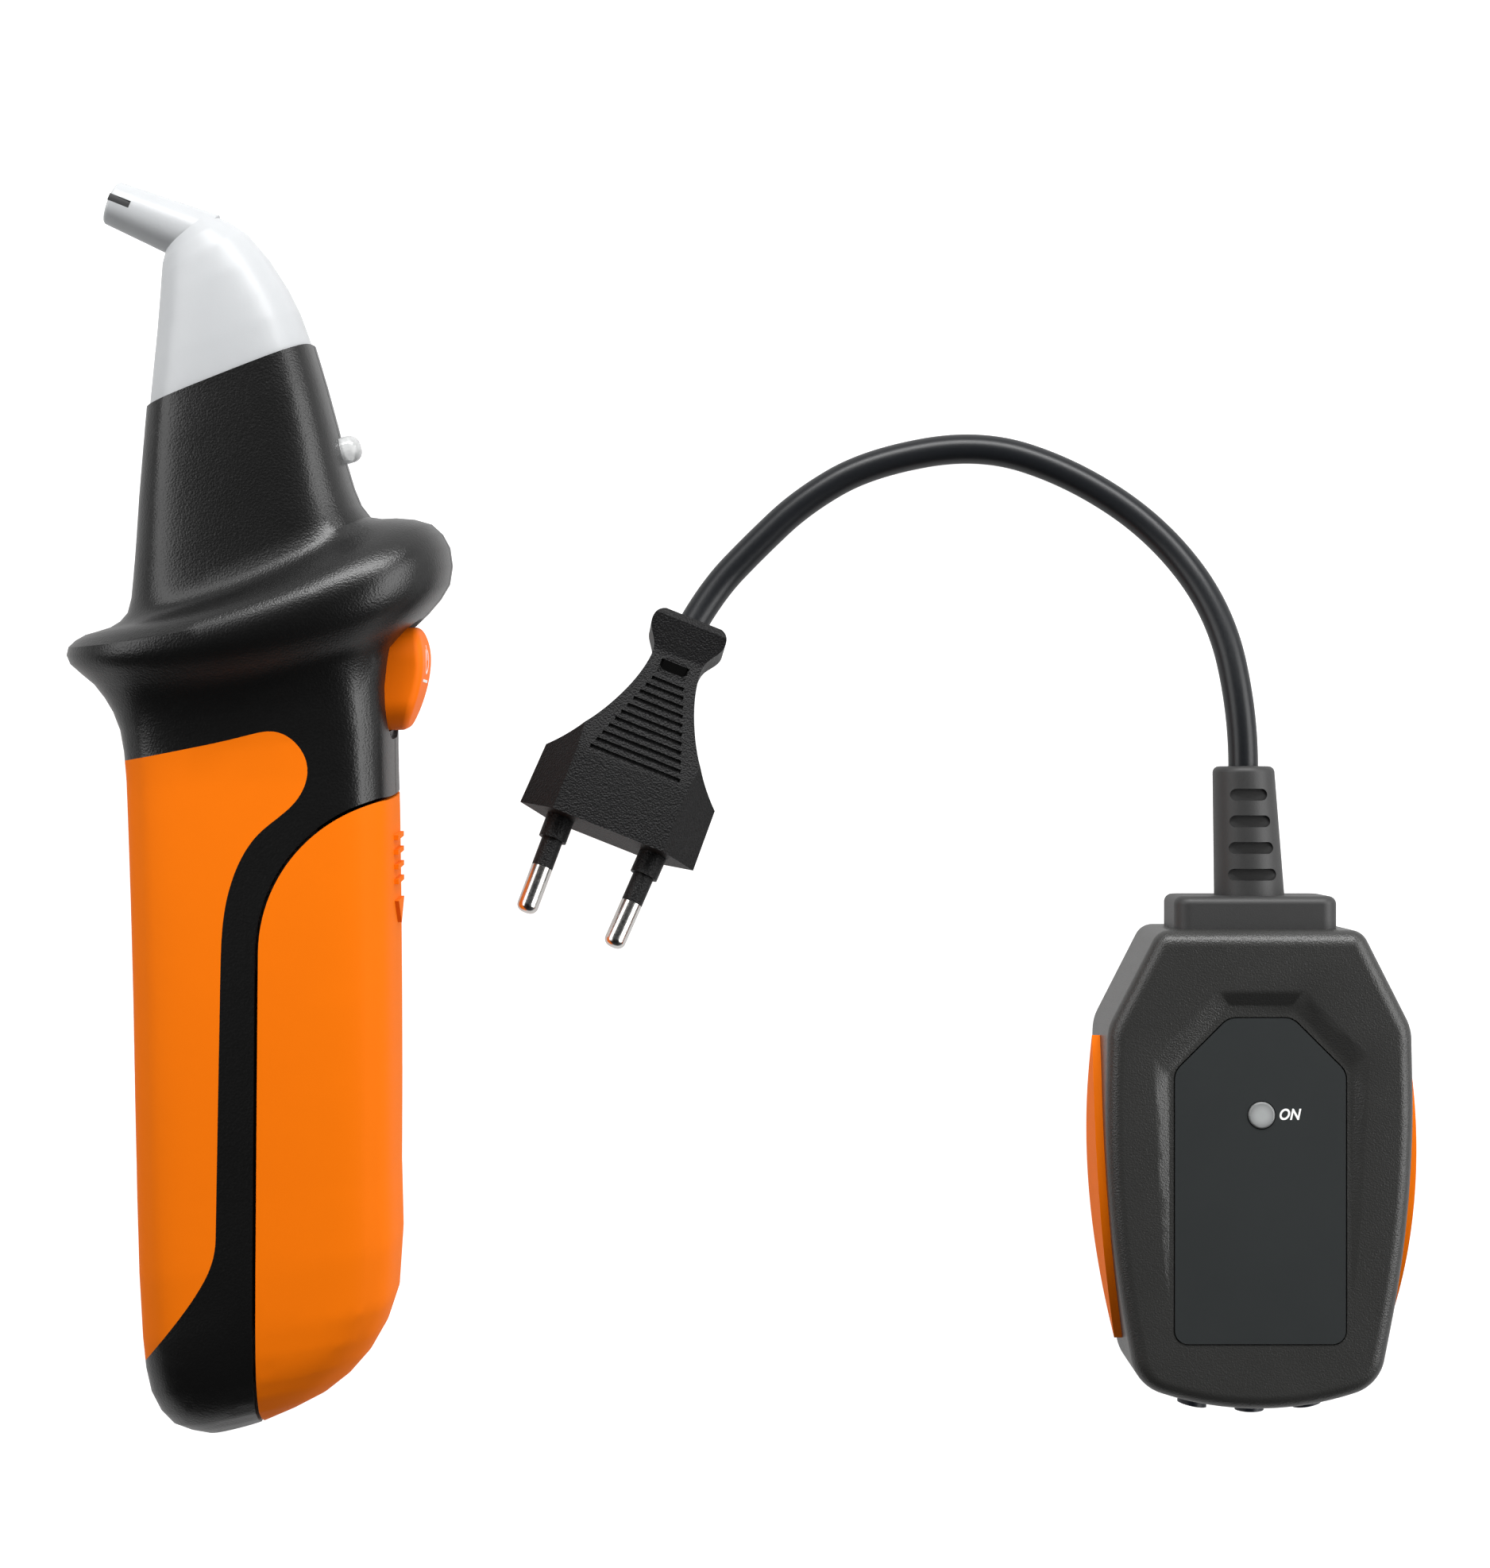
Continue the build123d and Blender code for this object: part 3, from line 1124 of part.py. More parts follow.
with BuildPart() as plug_body:
    with BuildSketch(Plane.XY.offset(-PLUG_HALF_THICK)):
        with BuildLine():
            front = Line((0, 0), (0, PLUG_HALF_WIDTH))
            flank = Line(front @ 1, (PLUG_BLOCK_LONG, PLUG_HALF_WIDTH - 0.35))
            flare = Spline(
                flank @ 1, (17.5, 11.6), (24.0, 7.9), (33.0, 5.1), (37.0, 5.3), (40.6, 7.3),
                (42.8, 7.0), (PLUG_LONG, 5.6),
            )
            Line(flare @ 1, (PLUG_LONG, 0))
            mirror(about=Plane.XZ)
        make_face()
    extrude(amount=2 * PLUG_HALF_THICK)
    with BuildSketch(Plane.XZ):
        with BuildLine():
            front = Line((0, 0), (0, PLUG_HALF_THICK))
            Polyline(
                front @ 1, (PLUG_BLOCK_LONG, PLUG_HALF_THICK), (PLUG_WAIST_AT, PLUG_WAIST_HALF_THICK),
                (PLUG_LONG - PLUG_REAR_EDGE, PLUG_REAR_HALF_THICK),
                (PLUG_LONG, PLUG_REAR_HALF_THICK - PLUG_REAR_EDGE / 2),
                (PLUG_LONG, 0),
            )
            mirror(about=Plane.XZ)
        make_face()
    extrude(amount=PLUG_HALF_WIDTH, both=True, mode=Mode.INTERSECT)
    with BuildSketch(Plane.YZ):
        Polygon(
            (PLUG_HALF_WIDTH, 0), (PLUG_FLAT_HALF, PLUG_HALF_THICK), (-PLUG_FLAT_HALF, PLUG_HALF_THICK),
            (-PLUG_HALF_WIDTH, 0), (-PLUG_FLAT_HALF, -PLUG_HALF_THICK),
            (PLUG_FLAT_HALF, -PLUG_HALF_THICK), align=None,
        )
    extrude(amount=PLUG_LONG, mode=Mode.INTERSECT)
    for rib in range(GROOVE_COUNT):
        along = GROOVE_START + rib * GROOVE_PITCH
        reach = GROOVE_ROOT_HALF + (GROOVE_END_HALF - GROOVE_ROOT_HALF) * rib / (GROOVE_COUNT - 1)
        for side in (1, -1):
            with Locations((along, 0, side * plug_side(along))):
                Box(GROOVE_WIDE, 2 * reach, 2 * GROOVE_DEEP, mode=Mode.SUBTRACT)
    for side in (1, -1):
        with Locations((DIMPLE_AT, 0, side * (plug_side(DIMPLE_AT) + DIMPLE_DEEP))):
            Box(DIMPLE_LONG, DIMPLE_WIDE, 4 * DIMPLE_DEEP, mode=Mode.SUBTRACT)
    for seat in PIN_SEATS:
        with BuildSketch(Plane(seat)):
            Circle(PIN_CORE_RADIUS)
        extrude(amount=-PIN_ROOT, mode=Mode.SUBTRACT)

with BuildPart() as plug_pins:
    for seat in PIN_SEATS:
        pin = Plane(seat)
        with BuildSketch(pin.offset(PIN_SLEEVE_LONG)):
            Circle(PIN_RADIUS)
        extrude(amount=PIN_LONG - PIN_SLEEVE_LONG)
        with BuildSketch(pin.offset(-PIN_ROOT)):
            Circle(PIN_CORE_RADIUS)
        extrude(amount=PIN_ROOT + PIN_SLEEVE_LONG)
    ends = plug_pins.faces().sort_by(Axis.X)[0:2]
    fillet(ends.edges(), PIN_ROUND)

with BuildPart() as pin_sleeves:
    for seat in PIN_SEATS:
        with BuildSketch(Plane(seat)):
            Circle(PIN_RADIUS)      # flush with the bare end
        extrude(amount=PIN_SLEEVE_LONG)
        with BuildSketch(Plane(seat)):
            Circle(PIN_COLLAR_RADIUS)
        extrude(amount=PIN_COLLAR_LONG)
    add(plug_pins.part, mode=Mode.SUBTRACT)
    add(plug_body.part, mode=Mode.SUBTRACT)

# the plug lies on the rear of its underside, its pins held up by the cord
PLUG_LIFT = -plug_body.part.rotate(Axis.Y, PLUG_PITCH).bounding_box().min.Z
PLUG_SEAT = Location((*PLUG_AT, PLUG_LIFT), (0, 0, PLUG_HEADING)) * Location((0, 0, 0), (0, PLUG_PITCH, 0))
PLUG_AXIS = Vector(
    cos(radians(PLUG_HEADING)) * cos(radians(PLUG_PITCH)),
    sin(radians(PLUG_HEADING)) * cos(radians(PLUG_PITCH)),
    -sin(radians(PLUG_PITCH)),
)

for label, piece in (
    ("plug_body", plug_body), ("plug_pins", plug_pins), ("pin_sleeves", pin_sleeves)
):
    keep(piece, label, PLUG_SEAT)

# ---------------------------------------------------------------- cord
# its route: out of the strain relief, down to the surface, round and into the plug
RELIEF_END = Vector(
    TRANSMITTER_AT[0] - SLEEVE_SWAY,
    TRANSMITTER_AT[1] + BODY_LENGTH + COLLAR_LONG + SLEEVE_LONG,
    BODY_SEAM,
)
PLUG_END = Vector(*PLUG_AT, PLUG_LIFT) + PLUG_AXIS * PLUG_LONG
CORD_ROUTE = [
    RELIEF_END,
    RELIEF_END + Vector(0, 9.4, 0),
    Vector(89.3, 37.9, 11.0),
    Vector(78.3, 53.7, 6.5),
    Vector(62.2, 64.9, 4.0),
    Vector(44.5, 70.7, 3.0),
    Vector(22.9, 68.4, 3.0),
    Vector(11.0, 59.1, 3.0),
    PLUG_END + PLUG_AXIS * 8.5,
    PLUG_END,
]


def bend_radii(route):
    """The radius of each corner of a route: as large as its two runs allow."""
    radii = []
    for before, corner, after in zip(route, route[1:], route[2:]):
        arriving, leaving = corner - before, after - corner
        turn = radians(arriving.get_angle(leaving))
        radii.append(0.45 * min(arriving.length, leaving.length) / tan(turn / 2))
    return radii


CORD_BENDS = bend_radii(CORD_ROUTE)

with BuildPart() as power_cord:
    with BuildLine() as cord_path:
        FilletPolyline(*CORD_ROUTE, radius=CORD_BENDS)
    with BuildSketch(Plane(origin=RELIEF_END, z_dir=(0, 1, 0))):
        Circle(CORD_RADIUS)
    sweep()

keep(power_cord, "power_cord")

cord_length = cord_path.wires()[0].length
print("relief end", RELIEF_END, "plug end", PLUG_END, PLUG_END + PLUG_AXIS * 8.5)
print("cord bends", [round(radius, 1) for radius in CORD_BENDS])
print("cord length", round(cord_length, 1))
print("cord volume against section times length",
      round(power_cord.part.volume / (pi * CORD_RADIUS**2 * cord_length), 4))
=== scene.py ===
# %% [markdown]
# # A circuit breaker finder
# The set has two units that lie on a table. The receiver is a wand with a frosted sensing nose, a
# flared finger guard and orange soft grips. The transmitter is a small flat case whose short mains
# lead ends in a two-pin plug. The shapes with real sizes come from a CAD model, which is loaded
# here as a fixed frame. This notebook gives every surface its finish, lays the cord, and adds the
# small details that a maker would wind, print or roughen.

import json
import math

import bmesh
import bpy
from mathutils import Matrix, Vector
from mathutils.bvhtree import BVHTree


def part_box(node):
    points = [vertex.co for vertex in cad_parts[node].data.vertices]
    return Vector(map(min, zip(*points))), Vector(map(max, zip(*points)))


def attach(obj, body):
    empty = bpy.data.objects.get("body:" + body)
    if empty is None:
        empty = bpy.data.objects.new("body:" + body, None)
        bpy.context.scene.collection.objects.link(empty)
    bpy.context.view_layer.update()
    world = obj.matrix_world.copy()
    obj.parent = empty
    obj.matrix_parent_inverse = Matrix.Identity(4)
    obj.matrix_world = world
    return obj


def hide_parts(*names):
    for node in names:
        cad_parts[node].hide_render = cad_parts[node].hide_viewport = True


MM = 0.001
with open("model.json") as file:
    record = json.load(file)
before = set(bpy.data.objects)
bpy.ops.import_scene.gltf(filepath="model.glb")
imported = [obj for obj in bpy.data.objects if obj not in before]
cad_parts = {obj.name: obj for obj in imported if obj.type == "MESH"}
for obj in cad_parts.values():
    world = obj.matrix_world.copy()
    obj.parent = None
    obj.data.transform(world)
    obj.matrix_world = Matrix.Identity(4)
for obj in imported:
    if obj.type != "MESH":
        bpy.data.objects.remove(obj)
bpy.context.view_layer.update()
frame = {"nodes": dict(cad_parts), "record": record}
nodes = frame["nodes"]
print("CAD pieces:", len(nodes))


def add_object(name, data):
    """Makes an object from its data and puts it in the scene."""
    made = bpy.data.objects.new(name, data)
    bpy.context.scene.collection.objects.link(made)
    return made


# %% [markdown]
# ## Camera
# The set is seen from straight above, from about 600 mm, which is near enough for the tall guard to
# spread a little towards the viewer. A long lens further away would flatten that. The lens length
# follows from how much of the table has to be in view at that distance.

# %% The camera above the table
CAMERA_AT = Vector((-0.13, 5.73, 600.0)) * MM
VIEW_LONG = 300.3 * MM        # the view's long side covers this much of the table
SENSOR_LONG = 36.0            # the sensor's long side, in mm

camera_data = bpy.data.cameras.new("camera")
camera_data.sensor_width = SENSOR_LONG
camera_data.lens = SENSOR_LONG * CAMERA_AT.z / VIEW_LONG
camera_data.clip_start = 10 * MM
camera_data.clip_end = 20.0
camera = add_object("camera", camera_data)
camera.location = CAMERA_AT
bpy.context.scene.camera = camera
print("lens", round(camera_data.lens, 2), "mm")

# %% [markdown]
# ## Smooth copies of the moulded parts
# A CAD model arrives as loose triangles, each with its own three corners. Light would break at each
# of them, and a moulded part would look cut from paper. So each part is copied, the copy's corners
# are merged, and it is shaded smooth wherever two faces meet at less than a chosen angle. Real
# corners stay crisp. The loose triangles carry noted directions of their own, which no longer fit
# once corners merge, so they are dropped first. On parts made of flat faces with narrow rounded
# edges, weighted normals keep the shine of the flat faces flat, and only the edges turn it.

# %% Copies that stand for the CAD parts
MERGE_GAP = 0.01 * MM
SMOOTH_UP_TO = math.radians(32)
CURVED = (                    # curved all over, so they need no weighted normals
    "receiver_right_shell", "receiver_left_shell", "grip_right", "grip_left", "battery_cover",
    "sensor_nose", "reset_button", "end_bumpers", "signal_led",
)

record = frame["record"]["behaviour"]
body_of = {node: body for body, members in record["bodies"].items() for node in members}
slot_of = {part["node"]: part["material_slot"] for part in frame["record"]["subparts"]}
pieces = {}


def smooth_copy(node_name):
    """A merged, smoothly shaded copy of a CAD part that shows in its place."""
    mesh = nodes[node_name].data.copy()
    mesh.materials.clear()
    mesh.attributes.remove(mesh.attributes["custom_normal"])
    shape = bmesh.new()
    shape.from_mesh(mesh)
    bmesh.ops.remove_doubles(shape, verts=shape.verts, dist=MERGE_GAP)
    bmesh.ops.dissolve_degenerate(shape, edges=shape.edges, dist=MERGE_GAP / 10)
    shape.to_mesh(mesh)
    shape.free()
    mesh.shade_smooth()
    mesh.set_sharp_from_angle(angle=SMOOTH_UP_TO)
    copy = add_object(node_name + "_moulded", mesh)
    if node_name not in CURVED:
        weigh = copy.modifiers.new("flat_faces_first", "WEIGHTED_NORMAL")
        weigh.keep_sharp = True
    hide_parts(node_name)
    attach(copy, body_of[node_name])
    return copy


for node_name in nodes:
    if node_name not in ("power_cord", "pickup_coil"):
        pieces[node_name] = smooth_copy(node_name)
print("smooth copies:", len(pieces))

# %% [markdown]
# ### The bumpers
# The three rubber bumpers at the transmitter's lower end are seen from above as well: they stand
# out past the case's rounded edge. Their copy is moved out along the unit, so they stand 2.1 mm
# proud of the end wall, and their roots are still inside it.

# %% Bumpers that stand clear of the edge
BUMPER_OUT = 1.1 * MM
for corner in pieces["end_bumpers"].data.vertices:
    corner.co.y -= BUMPER_OUT
print("bumpers moved out by", round(BUMPER_OUT / MM, 1), "mm")

# %% [markdown]
# ## The cord
# The lead is a stiff round mains cord, 5.6 mm thick, with the transmitter at one end and the plug
# at the other. It is a curve: a NURBS spline bends evenly from end to end, as a thick cord does,
# while straight runs with rounded corners would look like bent wire. The bevel gives it its
# thickness. Each point's radius multiplies the bevel, so the bevel is 1 and the radius is the
# cord's own.

# %% The cord from the strain relief to the plug
CORD_THICK = 5.6 * MM
CORD_POINTS = [
    (92.9, 9.06, 15.0),
    (92.9, 18.46, 15.0),
    (89.3, 37.9, 11.0),
    (78.3, 53.7, 6.5),
    (62.2, 64.9, 4.0),
    (44.5, 70.7, 3.0),
    (23.5, 66.9, 3.0),
    (10.8, 59.6, 3.0),
    (1.6, 50.9, 3.0),
    (-6.3, 42.6, 3.5),
    (-10.09, 35.95, 4.99),
]


def make_cord():
    curve = bpy.data.curves.new("mains_cord", "CURVE")
    curve.dimensions = "3D"
    curve.bevel_depth = 1.0
    curve.bevel_resolution = 7
    curve.resolution_u = 24
    curve.use_fill_caps = True
    spline = curve.splines.new("NURBS")
    spline.points.add(len(CORD_POINTS) - 1)
    for point, place in zip(spline.points, CORD_POINTS):
        point.co = (*(Vector(place) * MM), 1.0)
        point.radius = CORD_THICK / 2
    spline.order_u = 3
    spline.use_endpoint_u = True
    return add_object("mains_cord", curve)


mains_cord = make_cord()
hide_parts("power_cord")
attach(mains_cord, "transmitter")
print("cord points:", len(CORD_POINTS))

# %% [markdown]
# ## Table and light
# The table is plain and white, and glows by itself so that the parts lie on an even ground with
# only a faint shadow. It looks brighter than the light it throws up at the parts, because black
# plastic would look grey in the full glow. The light is a white studio tent: bright all round near
# the table, most of all at the right, and dim overhead, so that black plastic that faces up stays
# black and what slopes away picks up a soft shine. Large panels at the left, the right and the head
# of the table give the shine its direction.

# %% The table
TABLE_HALF = 6.0              # in m
TABLE_DOWN = 0.05 * MM        # a hair below the parts, so that no face shares its plane
TABLE_TONE = 0.30
TABLE_GLOW = 1.0              # how bright the table looks
TABLE_FILL = 0.5              # how bright it is for the parts that it lights


def make_table():
    mesh = bpy.data.meshes.new("table")
    half = TABLE_HALF
    corners = [(-half, -half, 0), (half, -half, 0), (half, half, 0), (-half, half, 0)]
    mesh.from_pydata(corners, [], [(0, 1, 2, 3)])
    table = add_object("table", mesh)
    material = bpy.data.materials.new("table_white")
    material.use_nodes = True
    tree = material.node_tree
    shader = tree.nodes["Principled BSDF"]
    shader.inputs["Base Color"].default_value = (TABLE_TONE, TABLE_TONE, TABLE_TONE, 1)
    shader.inputs["Roughness"].default_value = 0.9
    shader.inputs["Specular IOR Level"].default_value = 0.0
    shader.inputs["Emission Color"].default_value = (1, 1, 1, 1)
    seen = tree.nodes.new("ShaderNodeLightPath")
    glow = tree.nodes.new("ShaderNodeMapRange")
    glow.inputs["To Min"].default_value = TABLE_FILL
    glow.inputs["To Max"].default_value = TABLE_GLOW
    tree.links.new(seen.outputs["Is Camera Ray"], glow.inputs["Value"])
    tree.links.new(glow.outputs["Result"], shader.inputs["Emission Strength"])
    mesh.materials.append(material)
    return table


table = make_table()
table.location.z = -TABLE_DOWN

# %% The studio tent
TENT_TOP = 0.0015             # how bright it is overhead
TENT_SIDE = (0.03, 0.09)      # near the table: on the dim side, and on the bright side
TENT_FADE = (0.15, 0.9)       # heights between which it dims, 0 at the table and 1 overhead
TENT_SEEN = 1.0               # the tent's wall, where the camera sees it behind the table
TENT_BRIGHT = (0.85, 0.5, 0.0)    # the direction of its bright side

world = bpy.data.worlds.new("studio")
bpy.context.scene.world = world
world.use_nodes = True
tent = world.node_tree
place = tent.nodes.new("ShaderNodeTexCoord")
split = tent.nodes.new("ShaderNodeSeparateXYZ")
toward = tent.nodes.new("ShaderNodeVectorMath")
toward.operation = "DOT_PRODUCT"
toward.inputs[1].default_value = TENT_BRIGHT
side = tent.nodes.new("ShaderNodeMapRange")
side.inputs["From Min"].default_value = -1.0
side.inputs["To Min"].default_value, side.inputs["To Max"].default_value = TENT_SIDE
ramp = tent.nodes.new("ShaderNodeMapRange")
ramp.inputs["From Min"].default_value, ramp.inputs["From Max"].default_value = TENT_FADE
ramp.inputs["To Max"].default_value = TENT_TOP
tent.links.new(place.outputs["Generated"], split.inputs["Vector"])
tent.links.new(place.outputs["Generated"], toward.inputs[0])
tent.links.new(toward.outputs["Value"], side.inputs["Value"])
tent.links.new(side.outputs["Result"], ramp.inputs["To Min"])
tent.links.new(split.outputs["Z"], ramp.inputs["Value"])
seen = tent.nodes.new("ShaderNodeLightPath")
wall = tent.nodes.new("ShaderNodeMix")
wall.inputs["B"].default_value = TENT_SEEN
tent.links.new(seen.outputs["Is Camera Ray"], wall.inputs["Factor"])
tent.links.new(ramp.outputs["Result"], wall.inputs["A"])
tent.nodes["Background"].inputs["Color"].default_value = (1, 1, 1, 1)
tent.links.new(wall.outputs["Result"], tent.nodes["Background"].inputs["Strength"])
print("tent strength at the sides:", TENT_SIDE)

# %% Three soft panels
PANEL_FAR = 900 * MM
PANEL_LONG = 900 * MM


def make_panel(name, direction, height, power):
    """A rectangular lamp that stands in the given direction and faces the middle of the table."""
    light = bpy.data.lights.new(name, "AREA")
    light.shape = "RECTANGLE"
    light.size = PANEL_LONG
    light.size_y = height
    light.energy = power
    panel = add_object(name, light)
    away = Vector(direction).normalized()
    panel.location = away * PANEL_FAR
    panel.rotation_euler = away.to_track_quat("Z", "Y").to_euler()


make_panel("panel_left", (-1.0, 0.35, 0.75), 500 * MM, 4.5)
make_panel("panel_right", (1.0, 0.1, 0.6), 500 * MM, 7.5)
make_panel("panel_head", (0.1, 1.0, 0.65), 300 * MM, 12.0)

bpy.context.scene.view_settings.view_transform = "Standard"

# %% [markdown]
# ## Shared effects
# Every plastic here shows the same few effects in its own measure: a spark-eroded grain from the
# mould, a faint cloudiness of the colour, and corners that handling has polished. Each effect is
# one node group, built once. Its sockets are named, so a finish only states sizes and amounts.

# %% Helpers for node trees
def new_group(name, inputs, outputs):
    """A shader node group with float or vector inputs and outputs, and its two end nodes."""
    group = bpy.data.node_groups.new(name, "ShaderNodeTree")
    for label, kind, value in inputs:
        socket = group.interface.new_socket(name=label, in_out="INPUT", socket_type=kind)
        if value is not None:
            socket.default_value = value
    for label, kind in outputs:
        group.interface.new_socket(name=label, in_out="OUTPUT", socket_type=kind)
    return group, group.nodes.new("NodeGroupInput"), group.nodes.new("NodeGroupOutput")


def add_math(tree, operation, first, second, clamp=False):
    """A math node fed by two sockets or numbers; returns its result."""
    node = tree.nodes.new("ShaderNodeMath")
    node.operation = operation
    node.use_clamp = clamp
    for socket, value in zip(node.inputs, (first, second)):
        if isinstance(value, (int, float)):
            socket.default_value = value
        elif value is not None:
            tree.links.new(value, socket)
    return node.outputs[0]


def find_node(tree, kind):
    """The first node of a kind in a tree."""
    return next(node for node in tree.nodes if node.bl_idname == kind)


# %% Grain from the mould
GRAIN_SHARES = 0.6            # how much the cells and the fine noise each add to the height


def make_grain():
    """Small rounded cells, like fine leather: a height for bump, and a mask of their crowns."""
    tree, given, made = new_group(
        "moulded_grain",
        [("Vector", "NodeSocketVector", None), ("Cell", "NodeSocketFloat", 0.7)],
        [("Height", "NodeSocketFloat"), ("Crown", "NodeSocketFloat")],
    )
    scale = add_math(tree, "DIVIDE", 1.0 / MM, given.outputs["Cell"])
    noise = tree.nodes.new("ShaderNodeTexNoise")
    noise.inputs["Detail"].default_value = 2.0
    cells = tree.nodes.new("ShaderNodeTexVoronoi")
    cells.feature = "SMOOTH_F1"
    cells.inputs["Smoothness"].default_value = 0.5
    for texture in (noise, cells):
        tree.links.new(given.outputs["Vector"], texture.inputs["Vector"])
        tree.links.new(scale, texture.inputs["Scale"])
    dome = add_math(tree, "SUBTRACT", 1.0, cells.outputs["Distance"])
    coarse = add_math(tree, "MULTIPLY", dome, GRAIN_SHARES)
    fine = add_math(tree, "MULTIPLY", noise.outputs["Fac"], GRAIN_SHARES)
    tree.links.new(add_math(tree, "ADD", coarse, fine), made.inputs["Height"])
    crown = add_math(tree, "MULTIPLY", dome, noise.outputs["Fac"], True)
    tree.links.new(crown, made.inputs["Crown"])
    return tree


grain_group = make_grain()

# %% Cloudy colour
def make_mottle():
    """A slow drift between two tones of one colour."""
    tree, given, made = new_group(
        "cloudy_colour",
        [
            ("Vector", "NodeSocketVector", None),
            ("Patch", "NodeSocketFloat", 12.0),
            ("Tone", "NodeSocketColor", None),
            ("Other Tone", "NodeSocketColor", None),
        ],
        [("Color", "NodeSocketColor")],
    )
    noise = tree.nodes.new("ShaderNodeTexNoise")
    noise.inputs["Detail"].default_value = 3.0
    tree.links.new(given.outputs["Vector"], noise.inputs["Vector"])
    scale = add_math(tree, "DIVIDE", 1.0 / MM, given.outputs["Patch"])
    tree.links.new(scale, noise.inputs["Scale"])
    blend = tree.nodes.new("ShaderNodeMix")
    blend.data_type = "RGBA"
    tree.links.new(noise.outputs["Fac"], blend.inputs["Factor"])
    tree.links.new(given.outputs["Tone"], blend.inputs["A"])
    tree.links.new(given.outputs["Other Tone"], blend.inputs["B"])
    tree.links.new(blend.outputs["Result"], made.inputs["Color"])
    return tree


mottle_group = make_mottle()

# %% Corners polished by handling
RUB_FINENESS = 400.0          # how fine the patches are in which a corner is rubbed


def make_wear():
    """A mask that is 1 on tight outer corners: the bevelled normal leaves the true one there."""
    tree, given, made = new_group(
        "handled_corner",
        [
            ("Vector", "NodeSocketVector", None),
            ("Reach", "NodeSocketFloat", 0.5 * MM),
            ("Strength", "NodeSocketFloat", 1.0),
        ],
        [("Mask", "NodeSocketFloat")],
    )
    bevel = tree.nodes.new("ShaderNodeBevel")
    bevel.samples = 4
    tree.links.new(given.outputs["Reach"], bevel.inputs["Radius"])
    surface = tree.nodes.new("ShaderNodeNewGeometry")
    dot = tree.nodes.new("ShaderNodeVectorMath")
    dot.operation = "DOT_PRODUCT"
    tree.links.new(bevel.outputs["Normal"], dot.inputs[0])
    tree.links.new(surface.outputs["Normal"], dot.inputs[1])
    turned = add_math(tree, "SUBTRACT", 1.0, dot.outputs["Value"])
    patchy = tree.nodes.new("ShaderNodeTexNoise")
    patchy.inputs["Scale"].default_value = RUB_FINENESS
    tree.links.new(given.outputs["Vector"], patchy.inputs["Vector"])
    rubbed = add_math(tree, "MULTIPLY", turned, patchy.outputs["Fac"])
    mask = add_math(tree, "MULTIPLY", rubbed, given.outputs["Strength"], True)
    tree.links.new(mask, made.inputs["Mask"])
    return tree


wear_group = make_wear()
print("effects:", [group.name for group in bpy.data.node_groups if group.type == "SHADER"])

# %% [markdown]
# ## Finishes
# A moulded plastic is one recipe with different numbers: two close tones, a grain of some size and
# depth, a roughness, and how much its corners are polished. So one function makes them all. A
# finish that really works another way, such as glass or metal, gets its own short recipe below.

# %% One recipe for moulded plastic
VALLEY_DULL = 0.05            # the grain's valleys are this much rougher than the stated roughness
CROWN_SHINE = -0.12           # what the crowns of the grain and polished corners add to it
CORNER_SHINE = -0.25
GRAIN_STRENGTH = 0.6


def add_group(material, group, **values):
    """Puts a shared effect into a material and sets its inputs."""
    node = material.node_tree.nodes.new("ShaderNodeGroup")
    node.node_tree = group
    for label, value in values.items():
        node.inputs[label.replace("_", " ")].default_value = value
    return node


def start_material(name, roughness, metallic=0.0):
    """A new material, its shader, and the place on the piece that patterns are laid out by."""
    material = bpy.data.materials.new(name)
    material.use_nodes = True
    shader = material.node_tree.nodes["Principled BSDF"]
    shader.inputs["Roughness"].default_value = roughness
    shader.inputs["Metallic"].default_value = metallic
    place = material.node_tree.nodes.new("ShaderNodeTexCoord")
    return material, shader, place.outputs["Object"]


def add_bump(material, height, distance, strength=1.0):
    """Lets a height change the shader's normal, with its full depth given."""
    tree = material.node_tree
    bump = tree.nodes.new("ShaderNodeBump")
    bump.inputs["Strength"].default_value = strength
    bump.inputs["Distance"].default_value = distance
    tree.links.new(height, bump.inputs["Height"])
    tree.links.new(bump.outputs["Normal"], tree.nodes["Principled BSDF"].inputs["Normal"])


def moulded(name, tone, other, rough, cell, depth, worn=0.5, gloss=0.5):
    """Moulded plastic. Tones are colours, cell and depth the grain's size in mm."""
    material, shader, place = start_material(name, rough)
    tree = material.node_tree
    shader.inputs["Specular IOR Level"].default_value = gloss
    cloudy = add_group(material, mottle_group, Tone=(*tone, 1), Other_Tone=(*other, 1))
    grain = add_group(material, grain_group, Cell=cell)
    corner = add_group(material, wear_group, Strength=worn)
    for effect in (cloudy, grain, corner):
        tree.links.new(place, effect.inputs["Vector"])
    tree.links.new(cloudy.outputs["Color"], shader.inputs["Base Color"])
    crown = add_math(tree, "MULTIPLY", grain.outputs["Crown"], CROWN_SHINE)
    polished = add_math(tree, "MULTIPLY", corner.outputs["Mask"], CORNER_SHINE)
    shine = add_math(tree, "ADD", crown, polished)
    tree.links.new(add_math(tree, "ADD", shine, rough + VALLEY_DULL), shader.inputs["Roughness"])
    add_bump(material, grain.outputs["Height"], depth * MM, GRAIN_STRENGTH)
    return material


